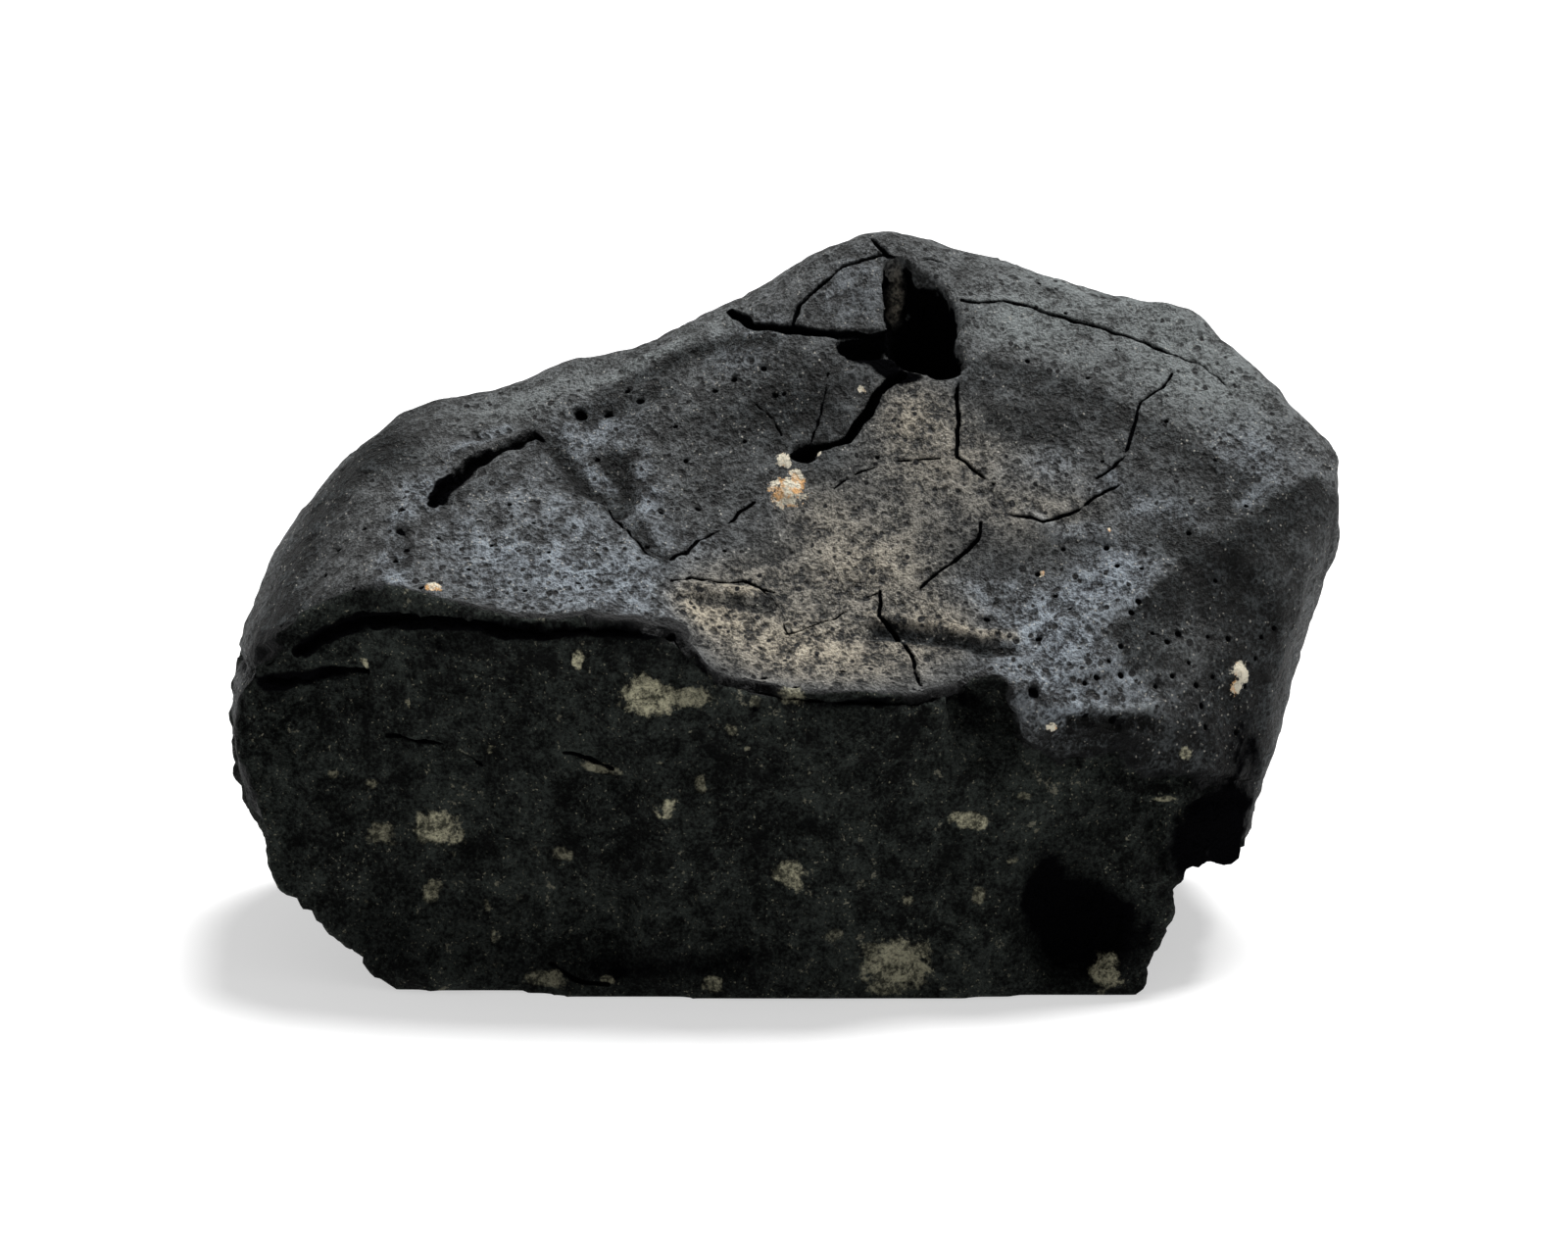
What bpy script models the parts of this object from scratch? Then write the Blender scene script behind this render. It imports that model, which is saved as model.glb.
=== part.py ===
"""A carbonaceous chondrite: one stone with a dark fusion crust, broken across its front.

The crusted lump is lofted through cross-sections. Rough break surfaces then cut its front,
its lower left, its lower right and its base, as the fall broke the real one. The hole under
the peak, the shrinkage cracks round it and the larger gas pits are cut last.
X runs to the right along the stone, Y runs to the back and Z is up. Blender units are metres.
"""

import math

import bmesh
import bpy
from mathutils import Matrix, Vector, noise
from mathutils.bvhtree import BVHTree

# The stone's length drives every size. All other numbers are drawn for an 85 mm stone, in UNITs.
STONE_LENGTH = 0.085
DRAWN_LENGTH = 85.0
UNIT = STONE_LENGTH / DRAWN_LENGTH

# Cross-sections of the unbroken lump, from left to right. Each has its x and ten (y, z) points:
# low front, brow, apron, hollow, scarp, ridge, back shoulder, back, low back and belly.
SECTIONS = (
    (-42.4, (-3, 17), (-5, 19), (-5, 20.5), (-3, 21.5), (-1, 22.5),
     (2, 22.5), (5, 21.5), (6, 19.5), (4, 17.5), (0, 16.5)),
    (-41, (-9, 13.5), (-13, 17), (-14, 20), (-10, 23), (-4, 25),
     (3, 25.5), (9, 24), (13, 20), (10, 14.5), (0, 12)),
    (-37.5, (-16, 6), (-22, 14), (-23, 22), (-16, 27), (-6, 30.3),
     (4, 31.3), (13, 29), (18, 20), (14, 8), (0, 4)),
    (-31, (-24, 0), (-30, 14), (-28, 26), (-19, 31.5), (-6, 36),
     (7, 38.7), (17, 35), (22, 22), (17, 3), (0, -3)),
    (-22, (-28, -4), (-34, 12), (-30, 27), (-20, 31), (-6, 36.5),
     (10, 41), (20, 37), (25, 23), (19, 0), (0, -6)),
    (-12, (-30, -5), (-35, 12), (-30, 27), (-18, 31.5), (-3, 37.5),
     (11, 44), (22, 39), (27, 24), (20, -1), (0, -7)),
    (-8.5, (-30.4, -5), (-35.4, 12), (-30, 26.8), (-18, 30.8), (-3, 37.7),
     (11.4, 45.5), (22.4, 40.1), (27.4, 24.4), (20.4, -1), (0, -7)),
    (-3, (-31, -5), (-36, 12), (-29, 24), (-18, 28.5), (-3, 38),
     (12, 48), (23, 42), (28, 25), (21, -1), (0, -7)),
    (6, (-31, -5), (-36, 10), (-29, 23.4), (-17, 27.7), (-2, 40),
     (12, 52.4), (24, 45), (28.5, 26), (21, -1), (0, -7)),
    (15, (-30, -5), (-34, 9), (-27, 22.8), (-16, 28.5), (-1, 42),
     (13, 51.0), (24, 44), (28, 26), (20, -1), (0, -7)),
    (24, (-24, -5), (-25.5, 12), (-20, 24.5), (-12, 32), (1, 42.5),
     (13, 48.4), (23, 42), (26, 26), (19, -1), (0, -6)),
    (31, (-15, -2), (-19, 11), (-16, 26), (-8, 35), (2, 43),
     (11, 46.8), (20, 41), (23, 26), (17, 3), (0, -3)),
    (36, (-8, 13), (-12, 18), (-12, 27), (-7, 35), (1, 41.5),
     (8, 44), (15, 39), (18, 28), (13, 13), (2, 10)),
    (39.5, (-4, 24), (-7, 28), (-7.5, 32), (-4, 37), (0, 39.6),
     (5, 40.5), (10, 37.5), (12, 32), (9, 25), (2, 22)),
    (42, (-1.5, 31), (-3, 33), (-3, 35), (-1.5, 36.4), (0, 37),
     (2, 37.3), (4, 36.5), (4.5, 34.5), (3, 32), (1, 31)),
)
LOOPS_ALONG = 50
POINTS_AROUND = 44
SWELL_SIZE = 13
SWELL_HEIGHT = 0.55
# Noise has this roughness, finer by this factor at each of its layers.
NOISE_ROUGHNESS = 1.0
NOISE_FACTOR = 2.0
NOISE_LAYERS = 2

# A view of the stone from its front, a little above level, in which marks on it are placed as
# (across, up) from the view's middle. It is drawn at the distance of the stone's middle.
VIEW_MIDDLE = Vector((0, 0, 25))
VIEW_RISE = math.radians(12)
VIEW_DISTANCE = 451.5

# Places where the crust was pressed in while it was soft:
# (across, up, half width, half height, depth, share of the radius that slopes)
PRESSED = (
    (-19.5, 6.5, 9.5, 8.0, 0.7, 0.3),
    (3.5, 8.0, 9.0, 9.5, 0.8, 0.7),
    (20.5, 1.5, 6.5, 7.0, 0.7, 0.6),
)

# Breaks: each is a rough sheet that cuts away all that lies outside it.
# Dents in a sheet: (along, up, half width, half height, depth, share of the radius that slopes)
FRONT_BREAK = {
    "point": (0, -25.2, 15), "normal": (0, -0.993, -0.12), "half_width": 48, "half_height": 24,
    "bow_along": 0.0062, "bow_up": 0.002, "rough": 0.55, "cell": 1.6,
    "dents": (
        (-24, -1.6, 15.5, 15.6, 1.2, 0.12),
        (3, 9, 10.5, 9, -1.2, 0.35),
        (14.6, 7.0, 3.6, 5.2, 2.6, 0.7),
        (17.5, 3.4, 3.2, 3.4, 1.4, 0.8),
        (33.4, -2.6, 4.8, 3.6, 0.9, 0.2),
        (20.5, -8.5, 6.0, 5.6, 1.9, 0.6),
        (-38.5, 0.5, 4.5, 5.0, -0.9, 0.3),
        (-9, -9, 9, 5, 0.8, 0.5),
        (-26, -9, 7, 4, 0.7, 0.4),
    ),
}
HEEL_BREAK = {
    "point": (-36.6, -8, 6.9), "normal": (-0.766, 0, -0.643), "half_width": 40, "half_height": 26,
    "bow_along": 0.001, "bow_up": 0.0214, "rough": 0.45, "cell": 2.6,
    "dents": ((-8, 2, 6, 5, 0.7, 0.5), (9, -3, 7, 6, 0.8, 0.5)),
}
BREAK_DEPTH = 30
# The sheets bow less towards the foot: from here up they take their full bow over this height.
FOOT_UP = -15
FOOT_SPREAD = 20
FOOT_BOW = 0.25

# The grain of every break
STEP_GRAIN_SIZE = 7.5
CREST_SIZE = 4.2
CREST_START = Vector((9.1, 3.3, 5.7))
CREST_MIDDLE = 0.2
CREST_SHARE = 0.9

# The step where the lower right corner came off, as a rough block: its nearest corner,
# the lean of its upright wall and the size of its faces.
STEP_CORNER = (29.2, 10.0)
STEP_LEAN = math.radians(17)
STEP_SIZE = 60
STEP_CUTS = 17
STEP_ROUGH = 0.4

# The break that the stone rests on is flat, and this high in the drawing.
BASE_HEIGHT = 1.0
BASE_DEPTH = 20
SHRED = 0.03
BASE_SIZE = 140

# The hole under the peak, as lumps seen from the front:
# (across, up, half width, half length down the slope, depth)
HOLE_LUMPS = (
    (10.9, 22.4, 3.0, 4.6, 6.5),
    (9.0, 25.6, 1.7, 3.0, 4.5),
    (12.6, 19.6, 1.4, 1.8, 4.5),
    (6.6, 20.9, 3.0, 1.4, 2.6),
)

HOLE_RAG = 0.22
HOLE_RAG_RATE = 1.7

# Shrinkage cracks, seen from the front: half width and depth, then the route.
CRACKS = (
    (0.42, 2.6, (-4.1, 23.6), (-2.6, 22.5), (-0.8, 22.0), (1.1, 21.9), (3.8, 21.7), (6.0, 21.3), (9.6, 21.2)),
    (0.26, 1.6, (0.6, 22.0), (1.1, 23.9), (2.6, 25.5), (4.4, 27.0), (6.0, 27.6), (7.9, 27.8), (9.0, 26.4)),
    (0.24, 1.4, (6.5, 29.1), (7.4, 28.7), (8.9, 26.8)),
    (0.50, 3.0, (10.8, 20.3), (9.4, 18.6), (7.9, 17.4), (7.0, 16.3), (5.9, 14.8), (5.0, 13.5), (3.4, 13.1),
     (1.9, 12.8), (0.6, 12.1)),
    (0.24, 1.6, (12.9, 20.2), (13.2, 17.6), (13.4, 15.0), (13.1, 12.3), (15.0, 10.6), (16.4, 9.7)),
    (0.26, 1.6, (11.8, 23.8), (15.0, 24.1), (17.3, 24.1), (19.6, 23.6), (22.2, 22.8), (24.8, 21.9)),
    (0.24, 1.3, (29.6, 18.7), (28.7, 17.3), (27.3, 16.0), (26.9, 14.3), (26.0, 11.9)),
    (0.24, 1.3, (16.0, 8.6), (17.7, 7.7), (19.9, 7.2), (21.8, 7.8), (24.1, 9.1)),
    (0.26, 1.6, (7.2, 2.0), (7.4, -0.1), (8.7, -1.2), (9.8, -2.7), (10.2, -4.2), (10.6, -5.4)),
)
BLADE_LIFT = 0.8
CRACK_END = 0.35

# A pit's ball stands this share of its radius below the crust.
PIT_SINK = 0.2

# The gap at the left end, where the crusted cap has sprung off: a wedge that points inwards.
GAP_TIP = (-34.8, -8.0, 23.0)
GAP_LENGTH = 9.0
GAP_OPENING = 1.5
GAP_TIP_OPENING = 0.35
GAP_WIDTH = 26.0
GAP_LEAN = math.radians(-6)

# The largest gas pits, seen from the front: (across, up, radius)
PITS = (
    (19.2, -5.7, 0.60), (19.6, -2.0, 0.45), (26.0, -4.6, 0.45), (23.9, -4.8, 0.40), (29.6, -4.4, 0.40),
    (23.7, -7.6, 0.50), (25.6, -7.8, 0.50), (27.3, 0.9, 0.40), (24.7, 5.2, 0.45), (25.8, 4.1, 0.45),
    (-15.0, 16.8, 0.55), (-16.0, 15.7, 0.65), (-13.8, 15.4, 0.45), (15.6, -0.4, 0.45), (-28.2, 5.6, 0.50),
    (18.7, 19.5, 0.40), (-5.3, 17.2, 0.40), (4.4, -4.0, 0.40), (32.5, 0.8, 0.45),
    (34.2, -1.6, 0.40), (31.2, -6.6, 0.45),
)


def clear_scene():
    for obj in list(bpy.data.objects):
        bpy.data.objects.remove(obj)


def smoothstep(share):
    share = min(1.0, max(0.0, share))
    return share * share * (3 - 2 * share)


def dent_depth(across, up, dents):
    """How deep the listed dents are at one place. A dent has a flat floor and sloping sides."""
    total = 0.0
    for middle_across, middle_up, half_width, half_height, depth, slope in dents:
        radius = math.hypot((across - middle_across) / half_width, (up - middle_up) / half_height)
        total += depth * smoothstep((1 - radius) / slope)
    return total


def layered_noise(point):
    return noise.fractal(point, NOISE_ROUGHNESS, NOISE_FACTOR, NOISE_LAYERS)


def catmull_rom(before, start, end, after, t):
    """The point at share t of the smooth curve from start to end."""
    return 0.5 * (
        2 * start
        + (end - before) * t
        + (2 * before - 5 * start + 4 * end - after) * t * t
        + (3 * start - before - 3 * end + after) * t * t * t
    )


def smooth_curve(points, count, closed):
    """Count points on a smooth curve through the given ones."""
    spans = len(points) if closed else len(points) - 1
    made = []
    for n in range(count):
        place = n * spans / (count if closed else count - 1)
        i = min(int(place), spans - 1)
        if closed:
            near = [points[(i + k) % len(points)] for k in (-1, 0, 1, 2)]
        else:
            near = [points[max(0, min(spans, i + k))] for k in (-1, 0, 1, 2)]
        made.append(catmull_rom(*near, place - i))
    return made


# Seen from the front

VIEW_BACK = Vector((0, -math.cos(VIEW_RISE), math.sin(VIEW_RISE)))
VIEW_UP = Vector((0, math.sin(VIEW_RISE), math.cos(VIEW_RISE)))
VIEWPOINT = VIEW_MIDDLE + VIEW_BACK * VIEW_DISTANCE


def as_seen(point):
    """Where the front view shows a point, as (across, up)."""
    sight = point - VIEWPOINT
    scale = VIEW_DISTANCE / -sight.dot(VIEW_BACK)
    return sight.x * scale, sight.dot(VIEW_UP) * scale


def spot(tree, across, up):
    """The point of the stone, and its normal, that the front view shows at one place."""
    aim = VIEW_MIDDLE + Vector((across, 0, 0)) + VIEW_UP * up
    point, normal, _, _ = tree.ray_cast(VIEWPOINT, (aim - VIEWPOINT).normalized())
    return point, normal


# The crusted lump

def lump_mesh():
    """The lump before anything broke off it, lofted through the sections."""
    lines = []
    for k in range(1, len(SECTIONS[0])):
        through = [Vector((section[0], *section[k])) for section in SECTIONS]
        lines.append(smooth_curve(through, LOOPS_ALONG, closed=False))
    bm = bmesh.new()
    loops = []
    for n in range(LOOPS_ALONG):
        ring = smooth_curve([line[n] for line in lines], POINTS_AROUND, closed=True)
        verts = [bm.verts.new(p) for p in ring]
        loops.append([bm.edges.new(pair) for pair in zip(verts, verts[1:] + verts[:1])])
    for a, b in zip(loops, loops[1:]):
        bmesh.ops.bridge_loops(bm, edges=a + b)
    ends = bmesh.ops.holes_fill(bm, edges=loops[0] + loops[-1])["faces"]
    bmesh.ops.poke(bm, faces=ends)
    bmesh.ops.recalc_face_normals(bm, faces=bm.faces)
    swell_and_press(bm)
    return finished_mesh("stone", bm)


def swell_and_press(bm):
    """Long low swells all over, and the hollows that the air pressed into the soft crust."""
    bm.normal_update()
    for v in bm.verts:
        swell = SWELL_HEIGHT * layered_noise(v.co / SWELL_SIZE)
        pressed = 0.0
        if v.normal.dot(VIEW_BACK) > 0:
            pressed = dent_depth(*as_seen(v.co), PRESSED)
        v.co += v.normal * (swell - pressed)


def finished_mesh(name, bm):
    """The drawing turned into a mesh at its real size."""
    bmesh.ops.scale(bm, vec=Vector((UNIT, UNIT, UNIT)), verts=bm.verts)
    mesh = bpy.data.meshes.new(name)
    bm.to_mesh(mesh)
    bm.free()
    return mesh


# Cutters

def break_cutter(name, sheet):
    """A block whose inner face is the rough break surface."""
    normal = Vector(sheet["normal"]).normalized()
    along = Vector((0, 0, 1)).cross(normal).normalized()
    up = normal.cross(along)
    bm = bmesh.new()
    bmesh.ops.create_grid(
        bm,
        x_segments=round(2 * sheet["half_width"] / sheet["cell"]),
        y_segments=round(2 * sheet["half_height"] / sheet["cell"]),
        size=1,
    )
    for v in bm.verts:
        a, u = v.co.x * sheet["half_width"], v.co.y * sheet["half_height"]
        v.co = Vector(sheet["point"]) + along * a + up * u
        height = sheet["rough"] * roughness(v.co)
        straightened = smoothstep((u - FOOT_UP) / FOOT_SPREAD)
        height -= sheet["bow_along"] * a * a * (FOOT_BOW + (1 - FOOT_BOW) * straightened)
        height -= sheet["bow_up"] * u * u
        v.co += normal * (height - dent_depth(a, u, sheet["dents"]))
    outer = bmesh.ops.extrude_face_region(bm, geom=bm.faces[:])["geom"]
    outer_verts = [g for g in outer if isinstance(g, bmesh.types.BMVert)]
    bmesh.ops.translate(bm, verts=outer_verts, vec=normal * BREAK_DEPTH)
    bmesh.ops.recalc_face_normals(bm, faces=bm.faces)
    return cutter_object(name, bm)


def roughness(point):
    """The grain of a break: broad steps with sharp crests on them, about -1 to 1."""
    crests = CREST_MIDDLE - abs(noise.noise(point / CREST_SIZE + CREST_START))
    return layered_noise(point / STEP_GRAIN_SIZE) + CREST_SHARE * crests


def step_cutter():
    """The rough block that takes the lower right corner off."""
    bm = bmesh.new()
    bmesh.ops.create_cube(bm, size=STEP_SIZE)
    bmesh.ops.subdivide_edges(bm, edges=bm.edges[:], cuts=STEP_CUTS, use_grid_fill=True)
    half = STEP_SIZE / 2
    bmesh.ops.translate(bm, verts=bm.verts, vec=(half, 0, -half))
    bmesh.ops.recalc_face_normals(bm, faces=bm.faces)
    bm.normal_update()
    for v in bm.verts:
        v.co += v.normal * STEP_ROUGH * roughness(v.co)
        if v.co.z < 0:
            v.co.x += v.co.z * math.tan(STEP_LEAN)
    bmesh.ops.translate(bm, verts=bm.verts, vec=(STEP_CORNER[0], 0, STEP_CORNER[1]))
    return cutter_object("lower_right_step", bm)


def base_cutter():
    """The flat that the stone rests on is where this block's top cuts it."""
    bm = bmesh.new()
    bmesh.ops.create_cube(bm, size=1)
    bmesh.ops.scale(bm, vec=(BASE_SIZE, BASE_SIZE, BASE_DEPTH), verts=bm.verts)
    bmesh.ops.translate(bm, verts=bm.verts, vec=(0, 0, BASE_HEIGHT - BASE_DEPTH / 2))
    return cutter_object("base", bm)


def hole_cutters(tree):
    """Rough lumps that overlap into one ragged hole."""
    for n, (across, up, half_width, half_length, depth) in enumerate(HOLE_LUMPS):
        point, normal = spot(tree, across, up)
        sideways = Vector((1, 0, 0))
        down_slope = normal.cross(sideways).normalized()
        turn = Matrix((sideways, down_slope, normal)).transposed()
        bm = bmesh.new()
        bmesh.ops.create_icosphere(bm, subdivisions=2, radius=1)
        for v in bm.verts:
            ragged = 1 + HOLE_RAG * noise.noise(v.co * HOLE_RAG_RATE + Vector((n, 0, 0)))
            v.co = Vector((v.co.x * half_width, v.co.y * half_length, v.co.z * depth)) * ragged
            v.co = turn @ v.co + point
        yield cutter_object(f"hole_{n}", bm)


def crack_cutter(tree, number, half_width, depth, route):
    """A blade that follows the crack over the crust, thinning out at its ends."""
    spots = [spot(tree, *place) for place in route]
    bm = bmesh.new()
    rings = []
    for i, (point, normal) in enumerate(spots):
        ahead = spots[min(i + 1, len(spots) - 1)][0] - spots[max(i - 1, 0)][0]
        side = normal.cross(ahead).normalized()
        thin = CRACK_END if i in (0, len(spots) - 1) else 1.0
        wide = side * half_width * thin * (1 + BLADE_LIFT / depth)
        lifted = point + normal * BLADE_LIFT
        corners = (lifted - wide, lifted + wide, point - normal * depth * thin)
        rings.append([bm.verts.new(c) for c in corners])
    for a, b in zip(rings, rings[1:]):
        for k in range(3):
            bm.faces.new((a[k], a[(k + 1) % 3], b[(k + 1) % 3], b[k]))
    bm.faces.new(rings[0])
    bm.faces.new(rings[-1])
    bmesh.ops.triangulate(bm, faces=bm.faces[:])
    bmesh.ops.recalc_face_normals(bm, faces=bm.faces)
    return cutter_object(f"crack_{number}", bm)


def gap_cutter():
    """A wedge lying on its side, with its thin edge inside the stone."""
    bm = bmesh.new()
    bmesh.ops.create_cube(bm, size=1)
    for v in bm.verts:
        inside = v.co.x > 0
        v.co.z *= GAP_TIP_OPENING if inside else GAP_OPENING
        v.co.x = 0 if inside else -GAP_LENGTH
        v.co.y *= GAP_WIDTH
    bmesh.ops.rotate(bm, verts=bm.verts, matrix=Matrix.Rotation(GAP_LEAN, 3, "X"))
    bmesh.ops.translate(bm, verts=bm.verts, vec=GAP_TIP)
    return cutter_object("left_gap", bm)


def pit_cutters(tree):
    for n, (across, up, radius) in enumerate(PITS):
        point, normal = spot(tree, across, up)
        bm = bmesh.new()
        bmesh.ops.create_icosphere(bm, subdivisions=1, radius=radius)
        bmesh.ops.translate(bm, verts=bm.verts, vec=point - normal * radius * PIT_SINK)
        yield cutter_object(f"pit_{n}", bm)


def cutter_object(name, bm):
    obj = bpy.data.objects.new(name, finished_mesh(name, bm))
    collection("cutters").objects.link(obj)
    obj.hide_render = True
    obj.display_type = "WIRE"
    return obj


# Assembly

def collection(name):
    found = bpy.data.collections.get(name)
    if found is None:
        found = bpy.data.collections.new(name)
        bpy.context.scene.collection.children.link(found)
    return found


def crust_material():
    material = bpy.data.materials.new("fusion_crust")
    material.use_nodes = True
    shader = material.node_tree.nodes["Principled BSDF"]
    shader.inputs["Base Color"].default_value = (0.045, 0.046, 0.045, 1)
    shader.inputs["Roughness"].default_value = 0.72
    shader.inputs["Metallic"].default_value = 0.0
    return material


def cut(stone, cutters):
    for cutter in cutters:
        modifier = stone.modifiers.new(cutter.name, "BOOLEAN")
        modifier.operation = "DIFFERENCE"
        modifier.solver = "EXACT"
        modifier.object = cutter


def close_shreds(stone):
    """Where two cuts cross, corners that all but touch are made one."""
    weld = stone.modifiers.new("close_shreds", "WELD")
    weld.merge_threshold = SHRED * UNIT


def surface_tree(mesh):
    """The lump's surface in drawing units, for finding spots on it."""
    points = [v.co / UNIT for v in mesh.vertices]
    return BVHTree.FromPolygons(points, [tuple(p.vertices) for p in mesh.polygons])


def stand_on_origin(stone):
    """Moves everything so that the middle of the underside is at the origin."""
    finished = stone.evaluated_get(bpy.context.evaluated_depsgraph_get())
    corners = [Vector(corner) for corner in finished.bound_box]
    low = Vector([min(c[k] for c in corners) for k in range(3)])
    high = Vector([max(c[k] for c in corners) for k in range(3)])
    middle = (low + high) / 2
    shift = Matrix.Translation((-middle.x, -middle.y, -low.z))
    for obj in bpy.data.objects:
        obj.data.transform(shift)
    print("moved", [round(c / UNIT, 3) for c in shift.translation])


def main():
    clear_scene()
    mesh = lump_mesh()
    tree = surface_tree(mesh)
    stone = bpy.data.objects.new("stone", mesh)
    collection("carbonaceous_chondrite").objects.link(stone)
    mesh.materials.append(crust_material())
    cut(stone, [break_cutter("front_break", FRONT_BREAK)])
    cut(stone, [break_cutter("heel_break", HEEL_BREAK)])
    cut(stone, [step_cutter(), gap_cutter()])
    cut(stone, [crack_cutter(tree, n, *crack[:2], crack[2:]) for n, crack in enumerate(CRACKS)])
    cut(stone, hole_cutters(tree))
    cut(stone, pit_cutters(tree))
    cut(stone, [base_cutter()])
    close_shreds(stone)
    mesh.shade_smooth()
    stand_on_origin(stone)


main()
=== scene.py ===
# %% [markdown]
# # A carbonaceous chondrite in the studio
#
# This lesson dresses one natural stone. Its solid comes from the CAD model: a lump with a dark
# fusion crust, broken across its front and flat under its base. Here it gets what the solid is
# too plain for: the grain of the crust, hairline cracks, gas pits, the crumbly broken face with
# its pale inclusions, and the finishes of both.

import math

import bpy
import numpy as np
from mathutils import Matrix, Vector, noise
from mathutils.bvhtree import BVHTree


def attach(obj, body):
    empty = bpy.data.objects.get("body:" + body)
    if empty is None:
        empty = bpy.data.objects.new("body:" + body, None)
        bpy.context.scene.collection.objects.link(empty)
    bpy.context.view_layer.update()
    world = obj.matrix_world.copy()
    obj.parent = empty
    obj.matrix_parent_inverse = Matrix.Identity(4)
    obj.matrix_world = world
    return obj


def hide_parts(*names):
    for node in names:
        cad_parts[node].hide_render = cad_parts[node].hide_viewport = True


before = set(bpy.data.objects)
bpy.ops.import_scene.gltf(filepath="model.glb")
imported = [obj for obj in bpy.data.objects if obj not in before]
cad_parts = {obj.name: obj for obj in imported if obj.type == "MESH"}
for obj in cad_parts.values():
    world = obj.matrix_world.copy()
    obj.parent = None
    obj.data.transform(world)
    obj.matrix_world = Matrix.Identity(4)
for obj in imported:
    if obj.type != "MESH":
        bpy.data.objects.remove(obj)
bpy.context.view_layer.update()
MM = 0.001
NOISE_SEED = 4
noise.seed_set(NOISE_SEED)  # without a seed, noise_vector starts from the clock

# %% [markdown]
# ## The camera
#
# The camera comes first, because marks on the stone are placed by where the picture shows them.
# It is a long lens, a little above the table. A long lens keeps the stone's proportions true.

# %% The camera
IMAGE_WIDTH, IMAGE_HEIGHT = 1600, 1258
LENS, SENSOR = 135.0, 36.0
RISE = math.radians(12)
AIM = Vector((-0.12, -0.59, 24.0)) * MM
DISTANCE = 451.5 * MM
TOWARDS_CAMERA = Vector((0, -math.cos(RISE), math.sin(RISE)))
PICTURE_UP = Vector((0, math.sin(RISE), math.cos(RISE)))
EYE = AIM + TOWARDS_CAMERA * DISTANCE

camera = bpy.data.objects.new("camera", bpy.data.cameras.new("camera"))
bpy.context.scene.collection.objects.link(camera)
camera.data.lens = LENS
camera.data.sensor_width = SENSOR
camera.data.clip_start = 0.01
camera.data.clip_end = 20
camera.location = EYE
camera.rotation_mode = "QUATERNION"
camera.rotation_quaternion = (-TOWARDS_CAMERA).to_track_quat("-Z", "Y")
bpy.context.scene.camera = camera
print("camera", round(DISTANCE / MM), "mm from the stone")

# %% [markdown]
# ## The floor and the light
#
# The stone lies on a sheet of white acrylic that glows faintly, as on a light table, so its
# shadow stays pale. The main light is wide and soft, overhead and a little behind, so the crust
# on top is bright and the broken front falls into shade.

# %% The floor
FLOOR_REACH = 6.0
FLOOR_GREY, FLOOR_ROUGHNESS, FLOOR_GLOW = 0.55, 0.9, 0.52


def shader_of(name):
    """A new material and its Principled shader."""
    made = bpy.data.materials.new(name)
    made.use_nodes = True
    return made, made.node_tree.nodes["Principled BSDF"]


def deselect_all():
    bpy.ops.object.select_all(action="DESELECT")


deselect_all()
bpy.ops.mesh.primitive_plane_add(size=FLOOR_REACH, location=(0, 0, 0))
floor = bpy.context.object
floor.name = "floor"
floor_material, floor_shader = shader_of("white_acrylic")
floor_shader.inputs["Base Color"].default_value = (FLOOR_GREY, FLOOR_GREY, FLOOR_GREY, 1)
floor_shader.inputs["Roughness"].default_value = FLOOR_ROUGHNESS
floor_shader.inputs["Specular IOR Level"].default_value = 0.0
floor_shader.inputs["Emission Color"].default_value = (1, 1, 1, 1)
floor_shader.inputs["Emission Strength"].default_value = FLOOR_GLOW
floor.data.materials.append(floor_material)

# %% The lights
ROOM_GLOW = 0.35
SUN_POWER, SUN_SPREAD = 4.9, math.radians(24)
SUN_PLACE = Vector((0.22, 0.36, 1.0))

world = bpy.data.worlds.new("white_room")
bpy.context.scene.world = world
world.use_nodes = True
world.node_tree.nodes["Background"].inputs["Color"].default_value = (1, 1, 1, 1)
world.node_tree.nodes["Background"].inputs["Strength"].default_value = ROOM_GLOW

soft_sun = bpy.data.objects.new("soft_sun", bpy.data.lights.new("soft_sun", "SUN"))
bpy.context.scene.collection.objects.link(soft_sun)
soft_sun.data.energy = SUN_POWER
soft_sun.data.angle = SUN_SPREAD
soft_sun.location = SUN_PLACE
soft_sun.rotation_mode = "QUATERNION"
soft_sun.rotation_quaternion = (-SUN_PLACE).to_track_quat("-Z", "Y")
bpy.context.scene.view_settings.view_transform = "Standard"
off_zenith = math.degrees(Vector((0, 0, 1)).angle(SUN_PLACE))
print("the sun stands", round(off_zenith), "degrees off the zenith")

# %% [markdown]
# ## The stone's fine body
#
# The solid is faceted, as it was made for measuring and for physics. A copy of it is merged,
# remeshed into small even faces and smoothed a little, so that there is something to carve.
# Remeshing was chosen over subdividing because the solid's faces are very uneven where cuts
# cross it. The new faces are put in order by place, so that the thinning can't depend on how
# they happen to be numbered. It thins the side that the camera never sees, to leave faces for
# the front.

# %% A merged copy
MERGE_GAP = 1e-6

stone = bpy.data.objects.new("chondrite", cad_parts["stone"].data.copy())
bpy.context.scene.collection.objects.link(stone)


def work_on(obj):
    deselect_all()
    obj.select_set(True)
    bpy.context.view_layer.objects.active = obj


def apply_all_modifiers(obj):
    work_on(obj)
    for modifier in list(obj.modifiers):
        bpy.ops.object.modifier_apply(modifier=modifier.name)


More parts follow.
